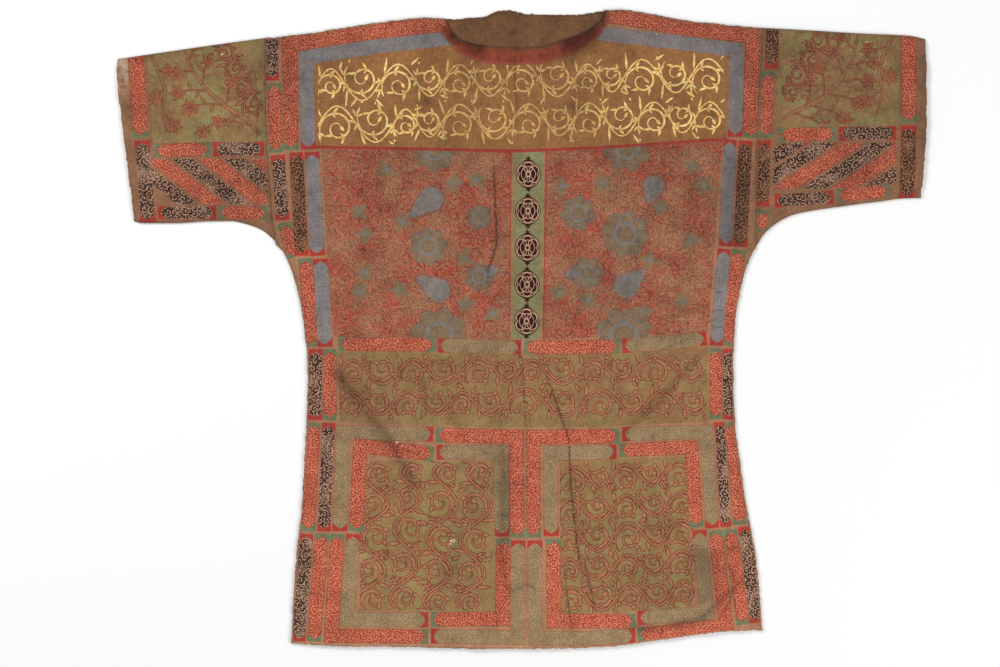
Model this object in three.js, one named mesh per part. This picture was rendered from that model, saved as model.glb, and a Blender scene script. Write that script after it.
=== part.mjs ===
// A painted cotton shirt with short wide sleeves, laid out flat on its back.
//
// Millimetres, +Z up. The origin lies under the middle of the shirt, on the surface that it rests
// on: +X runs across the shirt, +Y runs up to the neck. Four pieces are cut and sewn: a back and a
// front, which lie on each other, and two sleeves, each a flattened tube that is folded along its
// top edge and seamed under the arm. Neck, hem, cuffs and armholes are open.

import * as THREE from 'three';

// ---- driving dimensions ------------------------------------------------------------------------

const wall = 1.2;             // thickness of the sized and painted cloth
const seamGap = 0.3;          // clearance between two pieces at a seam, and between two layers
const upperLayer = wall + seamGap;
const gridStep = 21;          // size of one grid cell on the front
const backGridStep = 44;      // size of one grid cell on the back, which is plain and flat
const sleeveGridStep = 22;    // size of one grid cell on a sleeve

const loft = 1.1;             // how far the front stands off the back in its middle
const liftLimit = 3.3;        // height that the folds of the front come near but don't pass
const fadeWidth = 46;         // width of the strip along a sewn edge where the folds die out
const underarmBend = 106;     // height from which a side edge is drawn to the foot of the armhole

// The four corners where a sleeve is set in: the top and the bottom of each armhole. `bow` is how
// far the middle of the seam lies to the side of its straight line.
const leftArmhole = { top: [-345, 393.5], under: [-332.5, 119.5], bow: -5 };
const rightArmhole = { top: [326, 407], under: [316.5, 111.5], bow: -3.5 };

// Side edges of the body below the arms, one row for each height.
const sides = [
  { y: -425, left: -311, right: 327 },
  { y: -365, left: -308.5, right: 322.5 },
  { y: -311, left: -305, right: 317.5 },
  { y: -230, left: -296.5, right: 303 },
  { y: -176, left: -293.5, right: 295 },
  { y: -122, left: -291, right: 288.5 },
  { y: -55, left: -289, right: 286.5 },
  { y: 13, left: -295.5, right: 289.5 },
  { y: 40, left: -300, right: 293.5 },
  { y: 72, left: -308.5, right: 300.5 },
  { y: 88, left: -314, right: 306 },
  { y: 104.5, left: -321.5, right: 312.5 },
  { y: 117, left: -331, right: 318.5 },
];

// Hem of the body.
const hem = [
  { x: -311, y: -423.5 },
  { x: -256, y: -427.5 },
  { x: -148, y: -429 },
  { x: -40, y: -431.5 },
  { x: 46, y: -431 },
  { x: 111, y: -429 },
  { x: 198, y: -418 },
  { x: 284, y: -407.5 },
  { x: 325.5, y: -406 },
];

// Shoulder lines, from the top of an armhole to the corner of the neck.
const leftShoulder = [
  { x: -345, y: 393.5 },
  { x: -277, y: 401.5 },
  { x: -191, y: 415 },
  { x: -126, y: 421.5 },
  { x: -103.5, y: 419.5 },
];
const rightShoulder = [
  { x: 113, y: 431 },
  { x: 133, y: 432.5 },
  { x: 155, y: 430 },
  { x: 220, y: 418 },
  { x: 284, y: 411 },
  { x: 326, y: 407 },
];

// The neck: the scooped edge of the front and the nearly straight edge of the back.
const frontNeck = [
  { x: -103.5, y: 419.5 },
  { x: -94, y: 403 },
  { x: -79, y: 390 },
  { x: -42.5, y: 382 },
  { x: -10, y: 380 },
  { x: 26, y: 381.5 },
  { x: 52, y: 389 },
  { x: 83, y: 400.5 },
  { x: 107, y: 417 },
  { x: 113, y: 431 },
];
const backNeck = [
  { x: -103.5, y: 419.5 },
  { x: -50, y: 422.5 },
  { x: -37, y: 429 },
  { x: -18, y: 431.5 },
  { x: 6, y: 427 },
  { x: 68, y: 425 },
  { x: 113, y: 431 },
];

// Sleeves: top fold, underarm seam and cuff of each, in order of rising x or rising y.
const leftSleeve = {
  top: [
    { x: -544.5, y: 365 },
    { x: -480, y: 374.5 },
    { x: -415, y: 384 },
    { x: -345, y: 393.5 },
  ],
  under: [
    { x: -523, y: 146 },
    { x: -512, y: 143.5 },
    { x: -469, y: 143.5 },
    { x: -426, y: 146 },
    { x: -393.5, y: 146.5 },
    { x: -372, y: 142.5 },
    { x: -350, y: 134 },
    { x: -332.5, y: 119.5 },
  ],
  cuff: [
    { x: -523, y: 146 },
    { x: -534, y: 234 },
    { x: -542, y: 299 },
    { x: -547, y: 347.5 },
    { x: -544.5, y: 365 },
  ],
};
const rightSleeve = {
  top: [
    { x: 326, y: 407 },
    { x: 392, y: 403.5 },
    { x: 457, y: 399.5 },
    { x: 522, y: 396.5 },
    { x: 545, y: 392 },
  ],
  under: [
    { x: 316.5, y: 111.5 },
    { x: 327.5, y: 129 },
    { x: 349, y: 146.5 },
    { x: 370.5, y: 156 },
    { x: 446, y: 168 },
    { x: 489.5, y: 173.5 },
    { x: 511, y: 176.5 },
    { x: 539, y: 177.5 },
  ],
  cuff: [
    { x: 539, y: 177.5 },
    { x: 543.5, y: 218 },
    { x: 547, y: 280 },
    { x: 547, y: 350 },
    { x: 545, y: 392 },
  ],
};

// The largest folds of the upper cloth, each a soft ridge from one point to another. `bow` bends
// it to its left side, `width` is half its breadth, and a minus sign in `rise` makes it a trough.
const folds = [
  { name: 'centre, neck to waist', from: [-8, 352], to: [-7, -8], bow: 3, width: 17, rise: 1.6 },
  { name: 'beside the centre strip', from: [-38, 232], to: [-44, 88], bow: 5, width: 13, rise: 2.0 },
  { name: 'long crease, upper half', from: [40, -70], to: [66, -236], bow: -7, width: 15, rise: 2.6 },
  { name: 'long crease, lower half', from: [66, -236], to: [73, -424], bow: 9, width: 17, rise: 2.4 },
  { name: 'short crease by the hem', from: [86, -284], to: [99, -382], bow: 0, width: 12, rise: 1.5 },
  { name: 'lower centre', from: [-16, -132], to: [-22, -372], bow: -4, width: 15, rise: 1.9 },
  { name: 'across the left square', from: [-238, -124], to: [-120, -176], bow: 6, width: 20, rise: 2.1 },
  { name: 'right hem corner', from: [266, -306], to: [258, -404], bow: -24, width: 17, rise: 2.7 },
  { name: 'right armpit, upper', from: [262, 36], to: [166, 14], bow: -5, width: 14, rise: 1.8 },
  { name: 'right armpit, lower', from: [262, -2], to: [170, -36], bow: -5, width: 15, rise: 2.0 },
  { name: 'left armpit', from: [-292, 74], to: [-206, 22], bow: 8, width: 18, rise: 1.5 },
  { name: 'left sleeve', from: [-500, 318], to: [-378, 206], bow: 12, width: 26, rise: 1.5 },
  { name: 'right sleeve', from: [372, 212], to: [500, 330], bow: -12, width: 26, rise: 1.5 },
];

// ---- helpers for outlines ----------------------------------------------------------------------

const lerp = (from, to, t) => from + (to - from) * t;
const clamp01 = (t) => Math.min(1, Math.max(0, t));
const smooth = (t) => clamp01(t) ** 2 * (3 - 2 * clamp01(t));

// Value of a table's column at a key, on a smooth curve that never overshoots its rows.
function along(rows, keyName, valueName, key) {
  const slope = (k) => (rows[k + 1][valueName] - rows[k][valueName])
    / (rows[k + 1][keyName] - rows[k][keyName]);
  const tangent = (k) => {
    if (k === 0) return slope(0);
    if (k === rows.length - 1) return slope(k - 1);
    const [before, after] = [slope(k - 1), slope(k)];
    return before * after <= 0 ? 0 : (2 * before * after) / (before + after);
  };
  let k = 0;
  while (k < rows.length - 2 && key > rows[k + 1][keyName]) k += 1;
  const span = rows[k + 1][keyName] - rows[k][keyName];
  const t = clamp01((key - rows[k][keyName]) / span);
  const rest = 1 - t;
  return rows[k][valueName] * rest * rest * (1 + 2 * t) + rows[k + 1][valueName] * t * t * (3 - 2 * t)
    + span * (tangent(k) * t * rest * rest - tangent(k + 1) * t * t * rest);
}

// Point on an armhole seam, t from 0 under the arm to 1 at the shoulder.
function armholePoint(armhole, t) {
  return [
    lerp(armhole.under[0], armhole.top[0], t) + armhole.bow * 4 * t * (1 - t),
    lerp(armhole.under[1], armhole.top[1], t),
  ];
}

// A flat patch from its four edges, each a function of 0..1 that gives [x, y].
function patch(bottomEdge, topEdge, leftEdge, rightEdge) {
  const [bottomLeft, bottomRight] = [bottomEdge(0), bottomEdge(1)];
  const [topLeft, topRight] = [topEdge(0), topEdge(1)];
  return (u, v) => {
    const [bottom, top, left, right] = [bottomEdge(u), topEdge(u), leftEdge(v), rightEdge(v)];
    return [0, 1].map((axis) => lerp(bottom[axis], top[axis], v) + lerp(left[axis], right[axis], u)
      - lerp(
        lerp(bottomLeft[axis], bottomRight[axis], u),
        lerp(topLeft[axis], topRight[axis], u),
        v,
      ));
  };
}

// Stations from 0 to 1 that include the given stops, about `step` apart over `length`.
function stations(stops, length, step) {
  const list = [0];
  for (let k = 1; k < stops.length; k += 1) {
    const count = Math.max(1, Math.round(((stops[k] - stops[k - 1]) * length) / step));
    for (let i = 1; i <= count; i += 1) list.push(lerp(stops[k - 1], stops[k], i / count));
  }
  return list;
}

// ---- folds of the upper cloth --------------------------------------------------------------------

function foldHeight(fold, x, y) {
  const [dx, dy] = [fold.to[0] - fold.from[0], fold.to[1] - fold.from[1]];
  const length = Math.hypot(dx, dy);
  const [px, py] = [x - fold.from[0], y - fold.from[1]];
  const t = (px * dx + py * dy) / (length * length);
  if (t <= 0 || t >= 1) return 0;
  const across = (px * -dy + py * dx) / length - fold.bow * 4 * t * (1 - t);
  return fold.rise * Math.exp(-((across / fold.width) ** 2)) * smooth(t * 4) * smooth((1 - t) * 4);
}

// Height of the upper cloth over its lowest place. `edgeDistance` is the way to its nearest sewn edge.
function lift(x, y, edgeDistance) {
  const raw = folds.reduce((sum, fold) => sum + foldHeight(fold, x, y), loft);
  return liftLimit * Math.tanh(Math.max(0, raw) / liftLimit) * smooth(edgeDistance / fadeWidth);
}

// ---- solids ------------------------------------------------------------------------------------

function solidFrom(points, triangles) {
  const geometry = new THREE.BufferGeometry();
  geometry.setAttribute('position', new THREE.Float32BufferAttribute(points.flat(), 3));
  geometry.setIndex(triangles.flat());
  geometry.computeVertexNormals();
  return geometry;
}

// Two triangles for a four-sided face, its corners counter-clockwise as seen from outside.
const quad = (a, b, c, d) => [[a, b, c], [a, c, d]];

// A wall whose rows and columns of points run the same way below and above it.
function panelWall(columns, rows, pointAt, bottomAt) {
  const points = [];
  for (const v of rows) {
    for (const u of columns) {
      const [x, y] = pointAt(u, v);
      const z = bottomAt(x, y);
      points.push([x, y, z], [x, y, z + wall]);
    }
  }
  const low = (i, j) => 2 * (j * columns.length + i);
  const high = (i, j) => low(i, j) + 1;
  const [lastColumn, lastRow] = [columns.length - 1, rows.length - 1];
  const triangles = [];
  for (let j = 0; j < lastRow; j += 1) {
    for (let i = 0; i < lastColumn; i += 1) {
      triangles.push(...quad(high(i, j), high(i + 1, j), high(i + 1, j + 1), high(i, j + 1)));
      triangles.push(...quad(low(i, j), low(i, j + 1), low(i + 1, j + 1), low(i + 1, j)));
    }
    triangles.push(...quad(low(0, j), high(0, j), high(0, j + 1), low(0, j + 1)));
    triangles.push(...quad(low(lastColumn, j), low(lastColumn, j + 1),
      high(lastColumn, j + 1), high(lastColumn, j)));
  }
  for (let i = 0; i < lastColumn; i += 1) {
    triangles.push(...quad(low(i, 0), low(i + 1, 0), high(i + 1, 0), high(i, 0)));
    triangles.push(...quad(low(i, lastRow), high(i, lastRow),
      high(i + 1, lastRow), low(i + 1, lastRow)));
  }
  return solidFrom(points, triangles);
}

// A flattened tube: at each station a closed outer ring and an inner ring with as many points.
function tubeWall(outerRings, innerRings) {
  const ringSize = outerRings[0].length;
  const last = outerRings.length - 1;
  const points = [...outerRings.flat(), ...innerRings.flat()];
  const outer = (station, k) => station * ringSize + (k % ringSize);
  const inner = (station, k) => outer(station + last + 1, k);
  const triangles = [];
  for (let k = 0; k < ringSize; k += 1) {
    for (let s = 0; s < last; s += 1) {
      triangles.push(...quad(outer(s, k), outer(s, k + 1), outer(s + 1, k + 1), outer(s + 1, k)));
      triangles.push(...quad(inner(s, k), inner(s + 1, k), inner(s + 1, k + 1), inner(s, k + 1)));
    }
    triangles.push(...quad(outer(0, k), inner(0, k), inner(0, k + 1), outer(0, k + 1)));
    triangles.push(...quad(outer(last, k), outer(last, k + 1),
      inner(last, k + 1), inner(last, k)));
  }
  return solidFrom(points, triangles);
}

// ---- body --------------------------------------------------------------------------------------

const underarmRow = 0.66;       // share of the body's grid that lies below the armholes
const neckColumns = [0.36, 0.68];
const bodyWidth = rightArmhole.top[0] - leftArmhole.top[0];
const bodyHeight = leftArmhole.top[1] - hem[0].y;

// One side edge of the body, v from 0 at the hem to 1 at the shoulder, moved in by half a seam gap.
function bodySide(armhole, column, hemCorner, inward) {
  return (v) => {
    const inset = inward * (seamGap / 2);
    if (v > underarmRow) {
      const [x, y] = armholePoint(armhole, (v - underarmRow) / (1 - underarmRow));
      return [x + inset, y];
    }
    const y = lerp(hemCorner.y, armhole.under[1], v / underarmRow);
    const closing = smooth((y - underarmBend) / (armhole.under[1] - underarmBend));
    return [lerp(along(sides, 'y', column, y), armhole.under[0], closing) + inset, y];
  };
}

// The top edge of a body panel: shoulder, neck, shoulder.
function bodyTop(neckRows) {
  const [leftStop, rightStop] = neckColumns;
  const [leftEnd, rightEnd] = [neckRows[0], neckRows[neckRows.length - 1]];
  return (u) => {
    if (u <= leftStop) {
      const x = lerp(leftArmhole.top[0] + seamGap / 2, leftEnd.x, u / leftStop);
      return [x, along(leftShoulder, 'x', 'y', x)];
    }
    if (u >= rightStop) {
      const x = lerp(rightEnd.x, rightArmhole.top[0] - seamGap / 2, (u - rightStop) / (1 - rightStop));
      return [x, along(rightShoulder, 'x', 'y', x)];
    }
    const turn = (Math.PI * (u - leftStop)) / (rightStop - leftStop);
    const x = lerp(leftEnd.x, rightEnd.x, (1 - Math.cos(turn)) / 2);
    return [x, along(neckRows, 'x', 'y', x)];
  };
}

function bodyPatch(neckRows) {
  const [hemLeft, hemRight] = [hem[0], hem[hem.length - 1]];
  const bottomEdge = (u) => {
    const x = lerp(hemLeft.x + seamGap / 2, hemRight.x - seamGap / 2, u);
    return [x, along(hem, 'x', 'y', x)];
  };
  const leftEdge = bodySide(leftArmhole, 'left', hemLeft, 1);
  const rightEdge = bodySide(rightArmhole, 'right', hemRight, -1);
  return patch(bottomEdge, bodyTop(neckRows), leftEdge, rightEdge);
}

// Way from a point of the front to its nearest side, armhole, shoulder or neck edge.
function bodyEdgeDistance(x, y) {
  const sideX = (column) => along(sides, 'y', column, y);
  const seamX = (armhole) => armholePoint(
    armhole,
    clamp01((y - armhole.under[1]) / (armhole.top[1] - armhole.under[1])),
  )[0];
  const left = y > leftArmhole.under[1] ? seamX(leftArmhole) : sideX('left');
  const right = y > rightArmhole.under[1] ? seamX(rightArmhole) : sideX('right');
  const top = along([...leftShoulder.slice(0, -1), ...frontNeck, ...rightShoulder.slice(1)], 'x', 'y', x);
  return Math.min(x - left, right - x, top - y);
}

function frontPanel() {
  const columns = stations([0, ...neckColumns, 1], bodyWidth, gridStep);
  const rows = stations([0, underarmRow, 1], bodyHeight, gridStep);
  const bottomAt = (x, y) => upperLayer + lift(x, y, bodyEdgeDistance(x, y));
  return panelWall(columns, rows, bodyPatch(frontNeck), bottomAt);
}

function backPanel() {
  const columns = stations([0, ...neckColumns, 1], bodyWidth, backGridStep * 0.6);
  const rows = stations([0, underarmRow, 1], bodyHeight, backGridStep);
  return panelWall(columns, rows, bodyPatch(backNeck), () => 0);
}

// ---- sleeves -----------------------------------------------------------------------------------

// The patch of a sleeve, u from its left end to its right end and v from the underarm to the top.
function sleevePatch(sleeve, armhole, armholeSide) {
  const shift = armholeSide === 'right' ? -seamGap / 2 : seamGap / 2;
  const edge = (rows) => (u) => {
    const first = rows[0].x + (armholeSide === 'left' ? shift : 0);
    const last = rows[rows.length - 1].x + (armholeSide === 'right' ? shift : 0);
    const x = lerp(first, last, u);
    return [x, along(rows, 'x', 'y', x)];
  };
  const cuffEdge = (v) => {
    const y = lerp(sleeve.cuff[0].y, sleeve.cuff[sleeve.cuff.length - 1].y, v);
    return [along(sleeve.cuff, 'y', 'x', y), y];
  };
  const armholeEdge = (v) => {
    const [x, y] = armholePoint(armhole, v);
    return [x + shift, y];
  };
  const [leftEdge, rightEdge] = armholeSide === 'right' ? [cuffEdge, armholeEdge] : [armholeEdge, cuffEdge];
  return patch(edge(sleeve.under), edge(sleeve.top), leftEdge, rightEdge);
}

function sleeveTube(sleeve, armhole, armholeSide) {
  const pointAt = sleevePatch(sleeve, armhole, armholeSide);
  const length = Math.abs(sleeve.top[sleeve.top.length - 1].x - sleeve.top[0].x);
  const alongSleeve = stations([0, 1], length, sleeveGridStep);
  const middle = wall + seamGap / 2;          // height of the edge of the fold and of the seam
  const rings = alongSleeve.map((u) => {
    const breadth = pointAt(u, 1)[1] - pointAt(u, 0)[1];
    const crosswise = stations([0, 1], leftSleeve.top[0].y - leftSleeve.under[0].y, sleeveGridStep);
    const ring = (edgeInset, flatInset, lowerZ, upperZ, upperSign) => {
      const place = (v) => pointAt(u, v);
      const inner = crosswise.map((v) => lerp(flatInset / breadth, 1 - flatInset / breadth, v));
      const lower = inner.map((v) => [...place(v), lowerZ]);
      const upper = inner.toReversed().map((v) => {
        const [x, y] = place(v);
        const fromEdge = Math.min(v, 1 - v) * breadth;
        const fromArmhole = (armholeSide === 'right' ? 1 - u : u) * length;
        return [x, y, upperZ + upperSign * lift(x, y, Math.min(fromEdge, fromArmhole))];
      });
      const topFold = [...place(1 - edgeInset / breadth), middle];
      const underSeam = [...place(edgeInset / breadth), middle];
      return [...lower, topFold, ...upper, underSeam];
    };
    return {
      outer: ring(0, wall, 0, upperLayer + wall, 1),
      inner: ring(wall, wall + seamGap, wall, upperLayer, 1),
    };
  });
  return tubeWall(rings.map((ring) => ring.outer), rings.map((ring) => ring.inner));
}

// ---- the shirt ---------------------------------------------------------------------------------

const paintedCloth = new THREE.MeshStandardMaterial({ color: '#8c5c42', roughness: 0.92, metalness: 0 });
const plainCloth = new THREE.MeshStandardMaterial({ color: '#86663f', roughness: 0.95, metalness: 0 });

function named(name, geometry, material) {
  const mesh = new THREE.Mesh(geometry, material);
  mesh.name = name;
  return mesh;
}

const shirt = new THREE.Group();
shirt.add(
  named('back_panel', backPanel(), plainCloth),
  named('front_panel', frontPanel(), paintedCloth),
  named('sleeve_left', sleeveTube(leftSleeve, leftArmhole, 'right'), paintedCloth),
  named('sleeve_right', sleeveTube(rightSleeve, rightArmhole, 'left'), paintedCloth),
);

export default shirt;
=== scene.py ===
"""A painted cotton shirt, laid out flat on its back on a pale floor.

The shirt has four pieces: a front, a back and two sleeves. Each is one thin sheet. The paint is cut into
the sheet's own faces: every band, panel, flower and brush stroke is a stretch of the cloth with its own
finish, so that its edges stay crisp and it follows the folds. Lengths in the tables are millimetres.
"""

import math
import random
from collections import namedtuple

import bmesh
import bpy
import numpy as np
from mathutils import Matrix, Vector, noise
from mathutils.geometry import delaunay_2d_cdt


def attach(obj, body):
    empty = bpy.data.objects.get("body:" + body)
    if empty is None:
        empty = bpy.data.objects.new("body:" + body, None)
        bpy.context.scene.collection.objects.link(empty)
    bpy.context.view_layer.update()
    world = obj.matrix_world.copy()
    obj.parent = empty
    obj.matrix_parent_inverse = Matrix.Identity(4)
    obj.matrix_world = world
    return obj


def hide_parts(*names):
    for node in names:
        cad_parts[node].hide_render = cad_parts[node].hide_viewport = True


bl_info = {
    "name": "Painted shirt",
    "version": (1, 0, 0),
    "blender": (4, 5, 0),
    "location": "View3D > Sidebar > Shirt",
    "description": "Makes the cloth, the paint and the stage of a painted cotton shirt",
    "category": "Add Mesh",
}

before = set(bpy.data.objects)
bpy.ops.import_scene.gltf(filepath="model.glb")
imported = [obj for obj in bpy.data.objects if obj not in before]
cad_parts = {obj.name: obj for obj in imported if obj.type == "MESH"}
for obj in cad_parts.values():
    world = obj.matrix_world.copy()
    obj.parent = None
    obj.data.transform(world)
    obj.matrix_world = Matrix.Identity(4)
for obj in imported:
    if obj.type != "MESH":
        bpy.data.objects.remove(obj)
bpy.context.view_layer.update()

MM = 0.001
BAKE_MAP = "OFBake"        # the layout that the finished colours are stored in
PLACE_MAP = "Place"        # where a point lies in its own band, stroke or motif, in millimetres
SIZE_MAP = "Size"          # half the length and half the width of that band, stroke or motif


# ---- the cut of the shirt ---------------------------------------------------------------------------
# Edges are rows of (key, value) on a smooth curve: height and x for an upright edge, x and height for a
# level one. The origin lies on the floor under the middle of the shirt.

# An armhole seam's upper end, its foot under the arm and how far it bows to the right.
Armhole = namedtuple("Armhole", "top under bow")
LEFT_ARMHOLE = Armhole(top=(-345, 393.5), under=(-332.5, 119.5), bow=-5)
RIGHT_ARMHOLE = Armhole(top=(326, 407), under=(316.5, 111.5), bow=-3.5)
UNDERARM_BEND = 106        # height from which a side edge is drawn to the foot of the armhole

LEFT_SIDE = [
    (-425, -311), (-365, -308.5), (-311, -305), (-230, -296.5), (-176, -293.5), (-122, -291), (-55, -289),
    (13, -295.5), (40, -300), (72, -308.5), (88, -314), (104.5, -321.5), (117, -331),
]
RIGHT_SIDE = [
    (-425, 327), (-365, 322.5), (-311, 317.5), (-230, 303), (-176, 295), (-122, 288.5), (-55, 286.5),
    (13, 289.5), (40, 293.5), (72, 300.5), (88, 306), (104.5, 312.5), (117, 318.5),
]
HEM = [
    (-311, -423.5), (-256, -427.5), (-148, -429), (-40, -431.5), (46, -431), (111, -429), (198, -418),
    (284, -407.5), (325.5, -406),
]
LEFT_SHOULDER = [(-345, 393.5), (-277, 401.5), (-191, 415), (-126, 421.5), (-103.5, 419.5)]
RIGHT_SHOULDER = [(113, 431), (133, 432.5), (155, 430), (220, 418), (284, 411), (326, 407)]
FRONT_NECK = [
    (-103.5, 419.5), (-94, 403), (-79, 390), (-42.5, 382), (-10, 380), (26, 381.5), (52, 389),
    (83, 400.5), (107, 417), (113, 431),
]
BACK_NECK = [
    (-103.5, 419.5), (-50, 422.5), (-37, 429), (-18, 431.5), (6, 427), (68, 425), (113, 431),
]
NECK_LEFT, NECK_RIGHT = FRONT_NECK[0][0], FRONT_NECK[-1][0]

# A sleeve's fold along the top of the arm, its seam under the arm, its cuff, its armhole and on which side
# of the sleeve that lies.
Sleeve = namedtuple("Sleeve", "top under cuff armhole armhole_side")
LEFT_SLEEVE = Sleeve(
    top=[(-544.5, 365), (-480, 374.5), (-415, 384), (-345, 393.5)],
    under=[(-523, 146), (-512, 143.5), (-469, 143.5), (-426, 146), (-393.5, 146.5), (-372, 142.5),
           (-350, 134), (-332.5, 119.5)],
    cuff=[(146, -523), (234, -534), (299, -542), (347.5, -547), (365, -544.5)],
    armhole=LEFT_ARMHOLE,
    armhole_side="right",
)
RIGHT_SLEEVE = Sleeve(
    top=[(326, 407), (392, 403.5), (457, 399.5), (522, 396.5), (545, 392)],
    under=[(316.5, 111.5), (327.5, 129), (349, 146.5), (370.5, 156), (446, 168), (489.5, 173.5),
           (511, 176.5), (539, 177.5)],
    cuff=[(177.5, 539), (218, 543.5), (280, 547), (350, 547), (392, 545)],
    armhole=RIGHT_ARMHOLE,
    armhole_side="left",
)

# ---- folds ------------------------------------------------------------------------------------------
# Soft ridges of the upper cloth from one point to another. `bow` bends a fold to its left side, `width`
# is half its breadth and `rise` its height.

Fold = namedtuple("Fold", "start end bow width rise")
FOLDS = [Fold(*row) for row in (
    ((-8, 352), (-7, -8), 3, 17, 1.6),         # down the centre, neck to waist
    ((-38, 232), (-44, 88), 5, 13, 2.0),       # beside the centre strip
    ((40, -70), (66, -236), -7, 15, 2.6),      # long crease, upper half
    ((66, -236), (73, -424), 9, 17, 2.4),      # long crease, lower half
    ((86, -284), (99, -382), 0, 12, 1.5),      # short crease by the hem
    ((-16, -132), (-22, -372), -4, 15, 1.9),   # lower centre
    ((-238, -124), (-120, -176), 6, 20, 2.1),  # across the left square
    ((266, -306), (258, -404), -24, 17, 2.7),  # right hem corner
    ((262, 36), (166, 14), -5, 14, 1.8),       # right armpit, upper
    ((262, -2), (170, -36), -5, 15, 2.0),      # right armpit, lower
    ((-292, 74), (-206, 22), 8, 18, 1.5),      # left armpit
    ((-500, 318), (-378, 206), 12, 26, 1.5),   # left sleeve
    ((372, 212), (500, 330), -12, 26, 1.5),    # right sleeve
)]

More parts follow.
